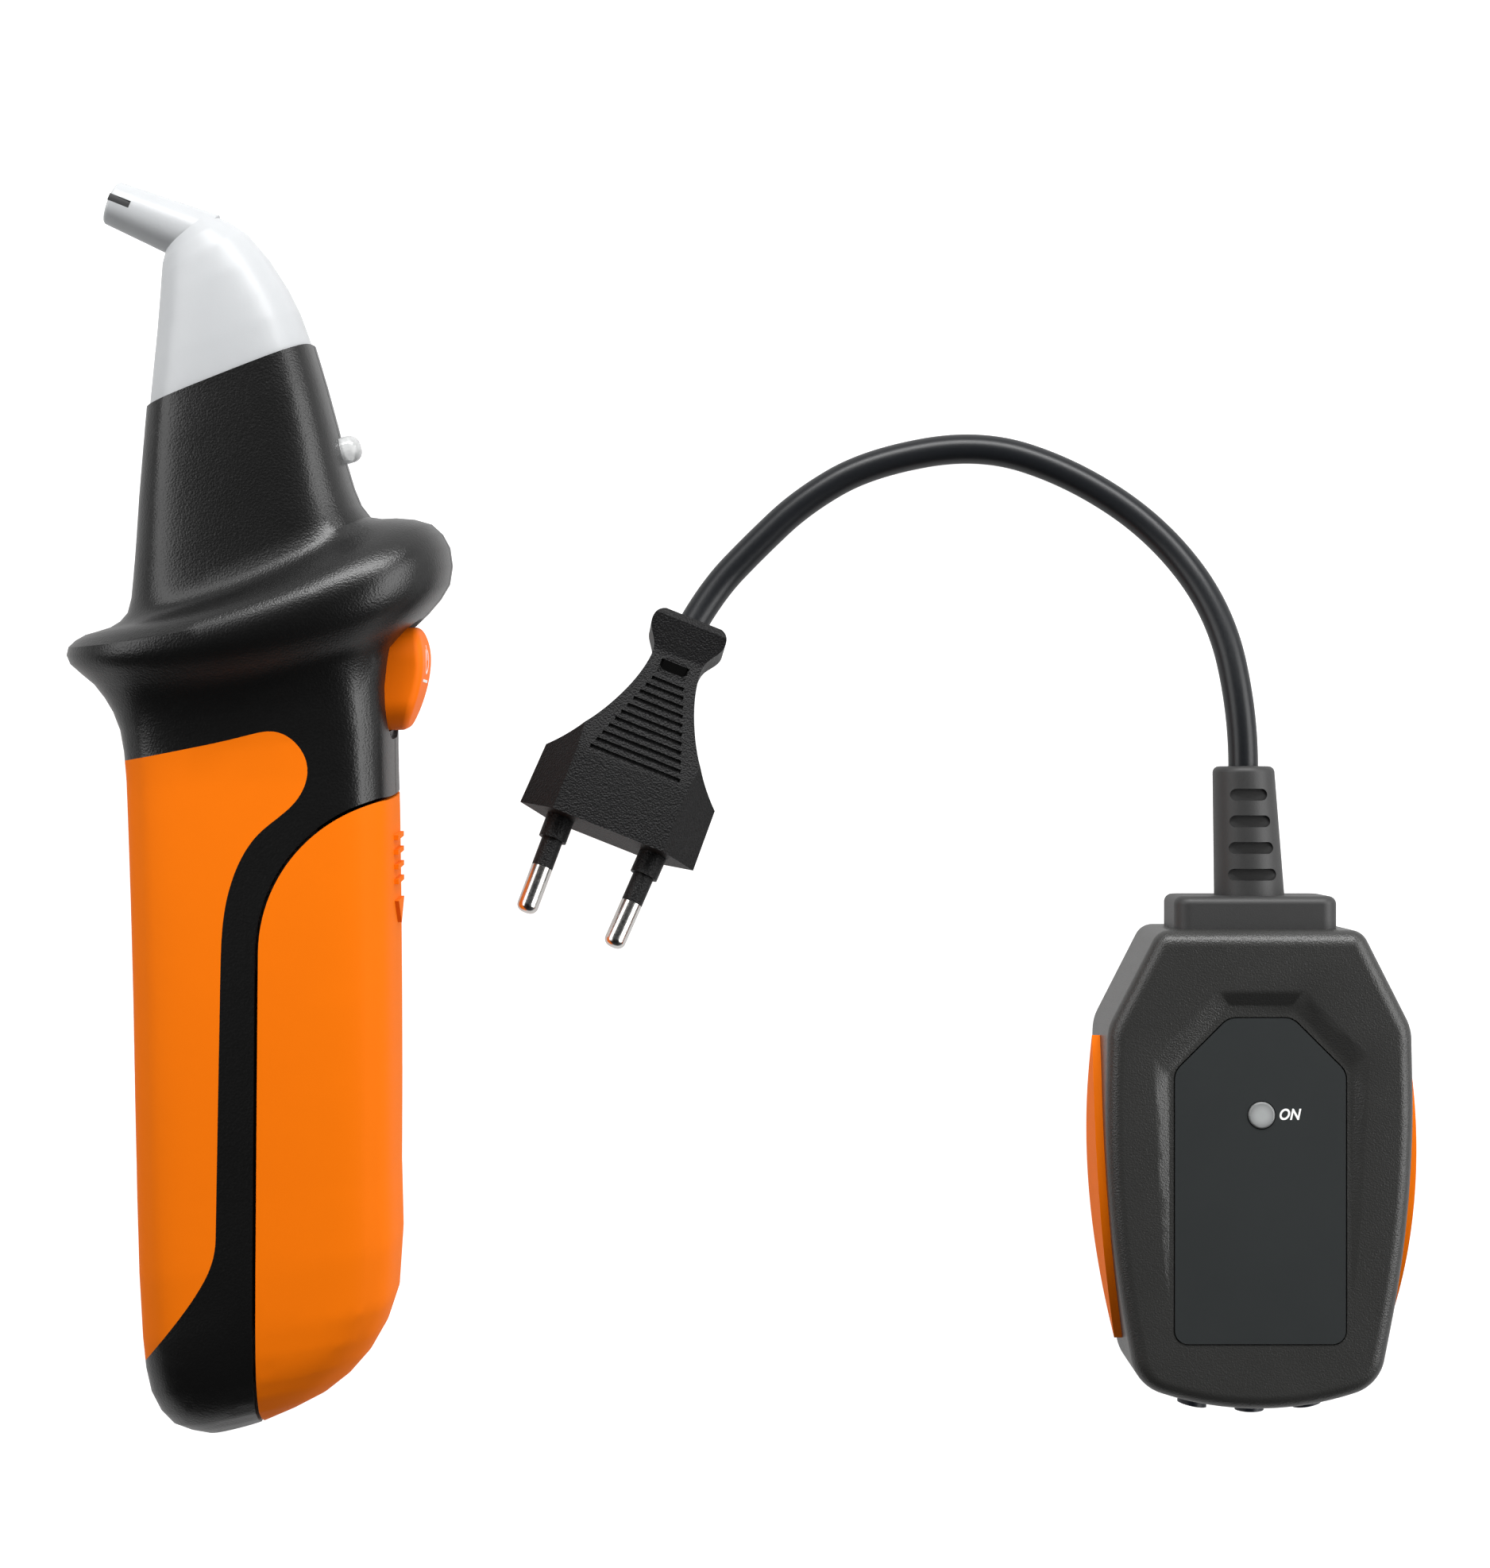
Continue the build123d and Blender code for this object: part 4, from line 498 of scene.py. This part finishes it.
materials = {
    "housing_black": moulded(
        "black_textured_housing", (0.0026, 0.0026, 0.0026), (0.0046, 0.0046, 0.0046),
        0.32, 0.38, 0.09,
    ),
    "grip_orange": moulded(
        "orange_soft_grip", (0.79, 0.154, 0.0), (0.82, 0.162, 0.0),
        0.66, 0.30, 0.012, gloss=0.10,
    ),
    "button_orange": moulded(
        "orange_button", (0.92, 0.165, 0.0), (0.95, 0.175, 0.0),
        0.55, 0.30, 0.008, gloss=0.15,
    ),
    "transmitter_grey": moulded(
        "grey_textured_case", (0.020, 0.020, 0.019), (0.027, 0.027, 0.026),
        0.36, 0.30, 0.12,
    ),
    "label_dark": moulded(
        "dark_label_film", (0.019, 0.0215, 0.022), (0.022, 0.0245, 0.025),
        0.40, 0.12, 0.006, gloss=0.4,
    ),
    "bumper_navy": moulded(
        "navy_rubber_foot", (0.010, 0.013, 0.022), (0.014, 0.018, 0.028),
        0.45, 0.25, 0.02,
    ),
    "relief_grey": moulded(
        "grey_flexible_relief", (0.020, 0.020, 0.020), (0.026, 0.026, 0.026),
        0.5, 0.3, 0.02,
    ),
    "plug_black": moulded(
        "black_plug", (0.0030, 0.0030, 0.0032), (0.0055, 0.0055, 0.0058),
        0.44, 0.34, 0.26, gloss=0.18,
    ),
    "blade_dark": moulded(
        "dark_blade", (0.020, 0.020, 0.021), (0.028, 0.028, 0.029),
        0.4, 0.3, 0.02,
    ),
    "component_black": moulded(
        "black_component", (0.012, 0.012, 0.013), (0.018, 0.018, 0.019),
        0.4, 0.2, 0.01,
    ),
    "ferrite": moulded(
        "sintered_ferrite", (0.022, 0.021, 0.020), (0.034, 0.032, 0.030),
        0.6, 0.15, 0.02,
    ),
    "capacitor_yellow": moulded(
        "yellow_capacitor", (0.70, 0.42, 0.02), (0.76, 0.47, 0.03),
        0.35, 0.3, 0.004,
    ),
    "battery_can": moulded(
        "battery_sleeve", (0.035, 0.036, 0.040), (0.045, 0.046, 0.050),
        0.3, 0.4, 0.004,
    ),
}
print("moulded finishes:", len(materials))

# %% [markdown]
# ### The parting line
# The two halves of the receiver's housing meet in a plane through the middle. The real joint is a
# narrow groove, because the halves are rounded where they meet, and shade makes it a dark line. It
# could be cut into both shells, but then it would be drawn twice. Here the finish sinks and dulls a
# thin band around that plane, and darkens its colour as painted shade of the groove. The plane
# leans with the receiver, and the band is measured square to it.

# %% The joint of the receiver's halves
LEAN = math.radians(4.0781)
JOINT_HEIGHT = 23.452 * MM    # how far the joint plane passes above the frame's origin
JOINT_HALF = 0.32 * MM
JOINT_EDGE = (0.6, 1.1)       # where the line starts and stops to fade, in half widths
JOINT_DEEP = 0.3 * MM
# The band's colour is painted shade of the joint's groove, not a dark material.
JOINT_PAINTED_SHADE = (0.001, 0.001, 0.001, 1)


def add_joint_line(material):
    """Paints the groove's shade into a thin band of a moulded finish, and dulls and sinks it, in
    the plane of the joint.
    """
    tree = material.node_tree
    shader = tree.nodes["Principled BSDF"]
    place = find_node(tree, "ShaderNodeTexCoord")
    dot = tree.nodes.new("ShaderNodeVectorMath")
    dot.operation = "DOT_PRODUCT"
    dot.inputs[1].default_value = (0.0, -math.sin(LEAN), math.cos(LEAN))
    tree.links.new(place.outputs["Object"], dot.inputs[0])
    off = add_math(tree, "SUBTRACT", dot.outputs["Value"], JOINT_HEIGHT)
    far = add_math(tree, "ABSOLUTE", off, None)
    line = tree.nodes.new("ShaderNodeMapRange")
    line.interpolation_type = "SMOOTHSTEP"
    line.inputs["From Min"].default_value = JOINT_HALF * JOINT_EDGE[0]
    line.inputs["From Max"].default_value = JOINT_HALF * JOINT_EDGE[1]
    tree.links.new(far, line.inputs["Value"])
    tone = shader.inputs["Base Color"].links[0].from_socket
    # Painted shade: the band's colour is mixed towards the dark of the groove.
    dark = tree.nodes.new("ShaderNodeMix")
    dark.data_type = "RGBA"
    dark.inputs["A"].default_value = JOINT_PAINTED_SHADE
    tree.links.new(line.outputs["Result"], dark.inputs["Factor"])
    tree.links.new(tone, dark.inputs["B"])
    tree.links.new(dark.outputs["Result"], shader.inputs["Base Color"])
    rough = shader.inputs["Roughness"].links[0].from_socket
    dull = add_math(tree, "SUBTRACT", 1.0, line.outputs["Result"])
    tree.links.new(add_math(tree, "ADD", rough, dull, True), shader.inputs["Roughness"])
    bump = find_node(tree, "ShaderNodeBump")
    groove = tree.nodes.new("ShaderNodeBump")
    groove.inputs["Distance"].default_value = JOINT_DEEP
    tree.links.new(line.outputs["Result"], groove.inputs["Height"])
    tree.links.new(bump.outputs["Normal"], groove.inputs["Normal"])
    tree.links.new(groove.outputs["Normal"], shader.inputs["Normal"])


add_joint_line(materials["housing_black"])

# %% [markdown]
# ### Frosted, clear and metal finishes
# The nose and the lamp's lens are white plastic that lets some light in and scatters it, so they
# look soft rather than painted. That is subsurface scattering with a short reach. The lamps are
# clear domes, made as glass. Pins and screws are metal, whose brushed marks sit in their roughness.

# %% Frosted and clear
CLEAR_TONE = (0.90, 0.91, 0.91, 1)
CLEAR_BENDS = 1.49            # its index of refraction
RIPPLE_FINENESS = 500.0
RIPPLE_DEEP = 0.01 * MM
SCATTER = 0.35                # how much of the light goes through the frosted plastic's skin
FROST_CELL = 0.2              # its grain's size, in mm
FROST_DEEP = 0.006 * MM
FROST_SHINE = -0.1            # what the crowns of that grain add to the roughness


def frosted(name, tone, rough, reach):
    """White plastic that scatters light over a reach in mm."""
    material, shader, place = start_material(name, rough)
    tree = material.node_tree
    shader.inputs["Subsurface Weight"].default_value = SCATTER
    shader.inputs["Subsurface Radius"].default_value = (1.0, 1.0, 1.0)
    shader.inputs["Subsurface Scale"].default_value = reach * MM
    lighter = (*(v * 1.05 for v in tone), 1)
    cloudy = add_group(material, mottle_group, Patch=18.0, Tone=(*tone, 1), Other_Tone=lighter)
    grain = add_group(material, grain_group, Cell=FROST_CELL)
    for effect in (cloudy, grain):
        tree.links.new(place, effect.inputs["Vector"])
    tree.links.new(cloudy.outputs["Color"], shader.inputs["Base Color"])
    crown = add_math(tree, "MULTIPLY", grain.outputs["Crown"], FROST_SHINE)
    tree.links.new(add_math(tree, "ADD", crown, rough), shader.inputs["Roughness"])
    add_bump(material, grain.outputs["Height"], FROST_DEEP)
    return material


def clear(name, rough, through=1.0):
    """Clear plastic or glass with a faint ripple; through is how much of it is glass."""
    material, shader, place = start_material(name, rough)
    tree = material.node_tree
    shader.inputs["Base Color"].default_value = CLEAR_TONE
    shader.inputs["Transmission Weight"].default_value = through
    shader.inputs["IOR"].default_value = CLEAR_BENDS
    ripple = tree.nodes.new("ShaderNodeTexNoise")
    ripple.inputs["Scale"].default_value = RIPPLE_FINENESS
    tree.links.new(place, ripple.inputs["Vector"])
    add_bump(material, ripple.outputs["Fac"], RIPPLE_DEEP)
    return material


materials["nose_frosted"] = frosted("frosted_nose", (0.40, 0.41, 0.42), 0.42, 3.0)
materials["lens_frosted"] = frosted("frosted_lens", (0.33, 0.34, 0.34), 0.34, 0.3)
materials["lens_clear"] = clear("clear_lamp", 0.08, 0.6)
materials["fuse_glass"] = clear("fuse_tube", 0.03)

# %% Painted light on the lens of the power light
LENS_RIM = 3.4 * MM
LENS_FADE = (0.2, 1.05)       # where the lens starts and stops to dim, in shares of that radius
# Painted shade at the lens's rim; the middle keeps the lens's own tone, so it reads as lit.
LENS_RIM_PAINTED_SHADE = (0.07, 0.07, 0.07, 1)


def paint_lens_light(material, middle):
    """Paints light into a frosted lens: it fades from a bright middle to a dim rim, as a lamp below
    it would light it.
    """
    tree = material.node_tree
    shader = tree.nodes["Principled BSDF"]
    place = find_node(tree, "ShaderNodeTexCoord")
    away = tree.nodes.new("ShaderNodeVectorMath")
    away.operation = "DISTANCE"
    away.inputs[1].default_value = middle
    tree.links.new(place.outputs["Object"], away.inputs[0])
    fade = tree.nodes.new("ShaderNodeMapRange")
    fade.interpolation_type = "SMOOTHSTEP"
    fade.inputs["From Min"].default_value = LENS_RIM * LENS_FADE[0]
    fade.inputs["From Max"].default_value = LENS_RIM * LENS_FADE[1]
    tree.links.new(away.outputs["Value"], fade.inputs["Value"])
    blend = tree.nodes.new("ShaderNodeMix")
    blend.data_type = "RGBA"
    blend.inputs["B"].default_value = LENS_RIM_PAINTED_SHADE
    tree.links.new(fade.outputs["Result"], blend.inputs["Factor"])
    tree.links.new(shader.inputs["Base Color"].links[0].from_socket, blend.inputs["A"])
    tree.links.new(blend.outputs["Result"], shader.inputs["Base Color"])


lens_low, lens_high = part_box("power_lens")
lens_middle = (lens_low + lens_high) / 2
paint_lens_light(materials["lens_frosted"], (lens_middle.x, lens_middle.y, lens_high.z))
print("frosted and clear finishes made")

# %% Metal, copper, board and cord
MARK_DEPTH = 0.16             # how far the marks spread the roughness
MARK_SHINE = 0.06             # how far they reach below the stated roughness


def metal(name, tone, rough, mark):
    """A metal with fine marks of the given size in mm in its roughness."""
    material, shader, place = start_material(name, rough, 1.0)
    tree = material.node_tree
    noise = tree.nodes.new("ShaderNodeTexNoise")
    noise.inputs["Scale"].default_value = 1.0 / (mark * MM)
    noise.inputs["Detail"].default_value = 3.0
    tree.links.new(place, noise.inputs["Vector"])
    darker = (*(v * 0.9 for v in tone), 1)
    cloudy = add_group(material, mottle_group, Patch=4.0, Tone=(*tone, 1), Other_Tone=darker)
    tree.links.new(place, cloudy.inputs["Vector"])
    tree.links.new(cloudy.outputs["Color"], shader.inputs["Base Color"])
    marks = add_math(tree, "MULTIPLY", noise.outputs["Fac"], MARK_DEPTH)
    tree.links.new(add_math(tree, "ADD", marks, rough - MARK_SHINE), shader.inputs["Roughness"])
    return material


materials["pin_nickel"] = metal("nickel_pin", (0.72, 0.71, 0.69), 0.2, 0.4)
materials["screw_steel"] = metal("zinc_screw", (0.60, 0.61, 0.63), 0.34, 0.3)
materials["copper_winding"] = metal("enamelled_copper", (0.62, 0.22, 0.08), 0.28, 0.5)
materials["circuit_board"] = moulded(
    "green_board", (0.010, 0.075, 0.028), (0.014, 0.095, 0.036), 0.36, 0.5, 0.01
)
materials["cord_black"] = moulded(
    "black_cord_sheath", (0.0058, 0.0066, 0.0080), (0.008, 0.009, 0.0108),
    0.34, 0.5, 0.006, gloss=0.36,
)
print("materials:", len(materials))

# %% [markdown]
# ## Printed marks
# The button carries a white power sign with a line under it, and the lamp of the transmitter has
# the word ON beside it. They are pad printed: a skin of ink some hundredths of a millimetre thick
# that follows the surface. A flat ribbon is drawn in front of the button, and each of its corners
# is moved straight back until it meets the surface. The slot in the dimple of the plug is a ribbon
# too, let down from above: a near-black, dull sheet that paints the shade inside the slot. The rest
# of the label and the wand stay bare.

# %% White ink
INK_THICK = 0.03 * MM


def print_ribbon(name, path, widths, target, toward, body, material):
    """A ribbon along a path, moved in one direction until it lies on the target's surface."""
    surface = BVHTree.FromPolygons(
        [corner.co.copy() for corner in target.data.vertices],
        [tuple(face.vertices) for face in target.data.polygons],
    )
    shape = bmesh.new()
    rails = []
    for index, point in enumerate(path):
        along = path[min(index + 1, len(path) - 1)] - path[max(index - 1, 0)]
        side = toward.cross(along).normalized() * widths[index] / 2
        pair = []
        for sign in (-1, 1):
            hit, out, _, _ = surface.ray_cast(point + side * sign, toward)
            pair.append(shape.verts.new(hit + out * INK_THICK / 4))
        rails.append(pair)
    for first, second in zip(rails, rails[1:]):
        shape.faces.new((first[0], second[0], second[1], first[1]))
    shape.normal_update()
    if sum(face.normal.dot(toward) for face in shape.faces) > 0:
        bmesh.ops.reverse_faces(shape, faces=shape.faces)
    mesh = bpy.data.meshes.new(name)
    shape.to_mesh(mesh)
    shape.free()
    ribbon = add_object(name, mesh)
    skin = ribbon.modifiers.new("ink", "SOLIDIFY")
    skin.thickness = INK_THICK
    skin.offset = 1.0
    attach(ribbon, body)
    mesh.materials.append(material)


materials["ink_white"] = moulded(
    "white_ink", (0.80, 0.80, 0.79), (0.86, 0.86, 0.85), 0.5, 0.1, 0.002, gloss=0.3
)

# %% The sign on the button
SIGN_AT = (28.4 * MM, 25.5 * MM)      # y and z of the power sign's middle
SIGN_RADIUS = 2.3 * MM
SIGN_LINE = 0.5 * MM
SIGN_GAP = math.radians(38)           # half of the opening at the top of the ring
SIGN_STEPS = 40
STEM_LONG = SIGN_RADIUS * 1.2
RULE_AT = 24.6 * MM                   # y of the line under the sign
RULE_HALF = 4.2 * MM
BEFORE_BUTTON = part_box("reset_button")[1].x + 5 * MM


def line_between(first, last, steps=16):
    """Evenly spaced points from the first to the last."""
    return [first.lerp(last, step / steps) for step in range(steps + 1)]


middle = Vector((BEFORE_BUTTON, *SIGN_AT))
ring = []
for step in range(SIGN_STEPS + 1):
    turn = SIGN_GAP + (2 * math.pi - 2 * SIGN_GAP) * step / SIGN_STEPS
    ring.append(middle + Vector((0, math.cos(turn), math.sin(turn))) * SIGN_RADIUS)
strokes = {
    "sign_ring": ring,
    "sign_stem": line_between(middle, middle + Vector((0, STEM_LONG, 0))),
    "sign_rule": line_between(
        Vector((BEFORE_BUTTON, RULE_AT, SIGN_AT[1] - RULE_HALF)),
        Vector((BEFORE_BUTTON, RULE_AT, SIGN_AT[1] + RULE_HALF)),
    ),
}
for name, path in strokes.items():
    print_ribbon(
        name, path, [SIGN_LINE] * len(path), pieces["reset_button"], Vector((-1, 0, 0)),
        "reset_button", materials["ink_white"],
    )
print("strokes on the button:", len(strokes))

# %% Painted shade of the slot in the plug's dimple
SLOT_AT = Vector((-13.45, 27.6, 40.0)) * MM
SLOT_HEADING = math.radians(68.3 - 90.0)      # square to the plug's axis
SLOT_LONG = 5.4 * MM
SLOT_WIDE = 2.2 * MM
SLOT_TIP = 0.1 * MM                           # the ribbon's least width, at its round ends
SLOT_STEPS = 24

# Near black and dull: painted shade of the slot's depth, not a black part.
materials["painted_slot_shade"] = moulded(
    "painted_slot_shade", (0.0008, 0.0008, 0.0008), (0.0012, 0.0012, 0.0012), 0.8, 0.3, 0.002, gloss=0.05
)
across = Vector((math.cos(SLOT_HEADING), math.sin(SLOT_HEADING), 0))
slot_path = line_between(
    SLOT_AT - across * SLOT_LONG / 2, SLOT_AT + across * SLOT_LONG / 2, SLOT_STEPS
)
slot_widths = []
for point in slot_path:
    past = max((point - SLOT_AT).length - (SLOT_LONG - SLOT_WIDE) / 2, 0)
    half = math.sqrt(max((SLOT_WIDE / 2) ** 2 - past ** 2, 0))
    slot_widths.append(max(2 * half, SLOT_TIP))
print_ribbon(
    "plug_slot_shade", slot_path, slot_widths, pieces["plug_body"], Vector((0, 0, -1)),
    "transmitter", materials["painted_slot_shade"],
)
slot_sample = slot_widths[:: SLOT_STEPS // 2]
print("slot width at its ends and middle mm:", [round(width / MM, 2) for width in slot_sample])

# %% The word at the lamp
WORD_AT = (99.2 * MM, -54.7 * MM)
WORD_HIGH = 2.0 * MM
CAPITAL_SHARE = 0.72          # a capital's height in the built-in font, as a share of its size
WORD_SLANT = 0.25
WORD_HEAVIER = 0.035          # how far its outlines are moved out, as a share of its height
WORD_SPREAD = 1.05
WORD_NARROWER = 0.86


def final_mesh(seed):
    """The mesh that an object ends up with; the object itself goes."""
    bpy.context.view_layer.update()
    depsgraph = bpy.context.evaluated_depsgraph_get()
    mesh = bpy.data.meshes.new_from_object(seed.evaluated_get(depsgraph))
    bpy.data.objects.remove(seed)
    return mesh


def print_word(name, text, middle, height, level):
    """Flat ink in the built-in font, slanted and made heavier, as a mesh in its place."""
    font = bpy.data.curves.new(name, "FONT")
    font.body = text
    font.size = height / CAPITAL_SHARE
    font.shear = WORD_SLANT
    font.offset = height * WORD_HEAVIER
    font.space_character = WORD_SPREAD
    font.align_x = "CENTER"
    font.align_y = "CENTER"
    font.extrude = INK_THICK / 2
    mesh = final_mesh(add_object(name, font))
    for corner in mesh.vertices:
        corner.co.x = corner.co.x * WORD_NARROWER + middle[0]
        corner.co.y += middle[1]
        corner.co.z += level
    shape = bmesh.new()
    shape.from_mesh(mesh)
    bmesh.ops.remove_doubles(shape, verts=shape.verts, dist=MERGE_GAP / 10)
    shape.to_mesh(mesh)
    shape.free()
    mesh.materials.clear()
    mesh.materials.append(materials["ink_white"])
    return add_object(name, mesh)


label_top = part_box("label_panel")[1].z
on_word = print_word("on_word", "ON", WORD_AT, WORD_HIGH, label_top + INK_THICK / 2)
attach(on_word, "transmitter")
print("letters:", len(on_word.data.polygons), "faces")

# %% [markdown]
# ## Wire turns and component legs
# The pickup coil is fine enamelled wire wound round a core, and the transformer stands on two rows
# of legs that come out under the board. Both repeat one small shape along a line, which is what
# Geometry Nodes are for: a line with evenly spaced points, one shape placed on each, made real at
# the end and given its finish. One recipe makes both trees, whose inputs say how many, how large
# and how far.

# %% A tree that repeats a shape along a line
ROW_INPUTS = [
    ("Start", "NodeSocketVector", (0, 0, 0)),
    ("End", "NodeSocketVector", (1, 0, 0)),
    ("Count", "NodeSocketInt", 3),
    ("Radius", "NodeSocketFloat", 1.0 * MM),
    ("Thickness", "NodeSocketFloat", 0.2 * MM),
]
WIRE_SIDES, BAR_SIDES, TURN_SIDES = 8, 12, 40      # corners of a wire, a bar and one turn
ROW_SMOOTH_UP_TO = math.radians(40)


def make_row_tree(name, material, wound):
    """A row along a line: rings of wire around it if wound is true, otherwise upright bars."""
    tree = bpy.data.node_groups.new(name, "GeometryNodeTree")
    for label, kind, value in ROW_INPUTS:
        socket = tree.interface.new_socket(name=label, in_out="INPUT", socket_type=kind)
        socket.default_value = value
    tree.interface.new_socket(name="Mesh", in_out="OUTPUT", socket_type="NodeSocketGeometry")
    add, link = tree.nodes.new, tree.links.new
    given, made = add("NodeGroupInput"), add("NodeGroupOutput")
    line, spread = add("GeometryNodeCurvePrimitiveLine"), add("GeometryNodeCurveToPoints")
    link(given.outputs["Start"], line.inputs["Start"])
    link(given.outputs["End"], line.inputs["End"])
    link(line.outputs["Curve"], spread.inputs["Curve"])
    link(given.outputs["Count"], spread.inputs["Count"])
    profile, sweep = add("GeometryNodeCurvePrimitiveCircle"), add("GeometryNodeCurveToMesh")
    profile.inputs["Resolution"].default_value = WIRE_SIDES if wound else BAR_SIDES
    link(given.outputs["Thickness"], profile.inputs["Radius"])
    if wound:
        path = add("GeometryNodeCurvePrimitiveCircle")
        path.inputs["Resolution"].default_value = TURN_SIDES
        link(given.outputs["Radius"], path.inputs["Radius"])
    else:
        path, across = add("GeometryNodeCurvePrimitiveLine"), add("ShaderNodeCombineXYZ")
        flip = add("ShaderNodeVectorMath")
        flip.operation = "SCALE"
        flip.inputs["Scale"].default_value = -1.0
        link(given.outputs["Radius"], across.inputs["Z"])
        link(across.outputs["Vector"], path.inputs["End"])
        link(across.outputs["Vector"], flip.inputs[0])
        link(flip.outputs["Vector"], path.inputs["Start"])
        sweep.inputs["Fill Caps"].default_value = True
    link(path.outputs["Curve"], sweep.inputs["Curve"])
    link(profile.outputs["Curve"], sweep.inputs["Profile Curve"])
    place, real = add("GeometryNodeInstanceOnPoints"), add("GeometryNodeRealizeInstances")
    finish = add("GeometryNodeSetMaterial")
    finish.inputs["Material"].default_value = material
    link(spread.outputs["Points"], place.inputs["Points"])
    if wound:
        link(spread.outputs["Rotation"], place.inputs["Rotation"])
    link(sweep.outputs["Mesh"], place.inputs["Instance"])
    link(place.outputs["Instances"], real.inputs["Geometry"])
    link(real.outputs["Geometry"], finish.inputs["Geometry"])
    link(finish.outputs["Geometry"], made.inputs["Mesh"])
    return tree


def grow_row(name, tree, body, slot, **values):
    """Runs a row tree with the given sizes and keeps its result as a plain mesh piece."""
    seed = add_object(name + "_seed", bpy.data.meshes.new(name + "_seed"))
    grow = seed.modifiers.new("row", "NODES")
    grow.node_group = tree
    for socket in tree.interface.items_tree:
        if socket.in_out == "INPUT":
            grow[socket.identifier] = values[socket.name.lower()]
    mesh = final_mesh(seed)
    mesh.shade_smooth()
    mesh.set_sharp_from_angle(angle=ROW_SMOOTH_UP_TO)
    piece = add_object(name, mesh)
    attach(piece, body)
    print(name, "faces:", len(mesh.polygons))


# %% The pickup coil's turns
TIP_TILT = math.radians(22)   # the tip's tube bends down from the x direction by this angle
WIRE = 0.2 * MM
COIL_RADIUS = 2.2 * MM
COIL_LONG = 7.0 * MM

coil_low, coil_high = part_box("pickup_coil")
coil_middle = (coil_low + coil_high) / 2
coil_axis = Vector((
    math.cos(TIP_TILT), -math.sin(TIP_TILT) * math.cos(LEAN), -math.sin(TIP_TILT) * math.sin(LEAN)
))
coil_end = coil_axis * (COIL_LONG - WIRE) / 2
grow_row(
    "coil_turns", make_row_tree("wound_wire", materials["copper_winding"], True), "receiver",
    "copper_winding", start=tuple(coil_middle - coil_end), end=tuple(coil_middle + coil_end),
    count=round(COIL_LONG / WIRE), radius=COIL_RADIUS, thickness=WIRE / 2,
)

# %% The legs of the transformer
LEG_COUNT = 5
LEG_HALF = 1.3 * MM
LEG_RADIUS = 0.35 * MM
LEG_INSET = Vector((2.5, 0.9, 0.0)) * MM

core_low, core_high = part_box("coupling_transformer")
board_low, board_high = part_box("main_board")
board_middle = (board_low.z + board_high.z) / 2
leg_tree = make_row_tree("upright_legs", materials["screw_steel"], False)
leg_rows = {
    "legs_near_foot": core_low.y + LEG_INSET.y,
    "legs_near_lamp": core_high.y - LEG_INSET.y,
}
for name, y in leg_rows.items():
    grow_row(
        name, leg_tree, "transmitter", "screw_steel",
        start=(core_low.x + LEG_INSET.x, y, board_middle),
        end=(core_high.x - LEG_INSET.x, y, board_middle),
        count=LEG_COUNT, radius=LEG_HALF, thickness=LEG_RADIUS,
    )

# %% [markdown]
# ## A dark plate behind the cover's joint
# The gap round the battery cover is a fraction of a millimetre wide. The real housing has a ledge
# behind it, so no light passes from one side of the wand to the other. Here a small dark plate
# inside the housing, in the plane of the joint, stands for that ledge at the cover's top corner and
# puts the gap in shade, so that it shows as a dark line.

# %% The plate that shades the gap
LEDGE_SHADE_LOW = Vector((-78.6, -4.0, 22.4)) * MM
LEDGE_SHADE_HIGH = Vector((-70.0, 4.6, 23.6)) * MM


def make_plate(name, low_corner, high_corner, body, slot):
    """A plate with slightly rounded edges between two corners."""
    shape = bmesh.new()
    bmesh.ops.create_cube(shape, size=1.0)
    size, middle = high_corner - low_corner, (high_corner + low_corner) / 2
    for corner in shape.verts:
        corner.co = Vector(
            share * long + centre for share, long, centre in zip(corner.co, size, middle)
        )
    bmesh.ops.bevel(
        shape, geom=shape.edges[:], offset=min(size) / 4, segments=2, profile=0.5, affect="EDGES"
    )
    mesh = bpy.data.meshes.new(name)
    shape.to_mesh(mesh)
    shape.free()
    mesh.materials.append(materials[slot])
    plate = add_object(name, mesh)
    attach(plate, body)
    return plate


# A dark plate that stands for the inner ledge and keeps the cover's gap in shade.
ledge_shade_plate = make_plate("cover_ledge_shade_plate", LEDGE_SHADE_LOW, LEDGE_SHADE_HIGH, "receiver", "housing_black")
print("ledge faces:", len(ledge_shade_plate.data.polygons))

# %% Give every piece its finish
for node_name, piece in pieces.items():
    piece.data.materials.append(materials[slot_of[node_name]])
mains_cord.data.materials.append(materials["cord_black"])
nodes["pickup_coil"].data.materials.clear()
nodes["pickup_coil"].data.materials.append(materials["copper_winding"])

# %% Bring the scene up to date
bpy.context.view_layer.update()
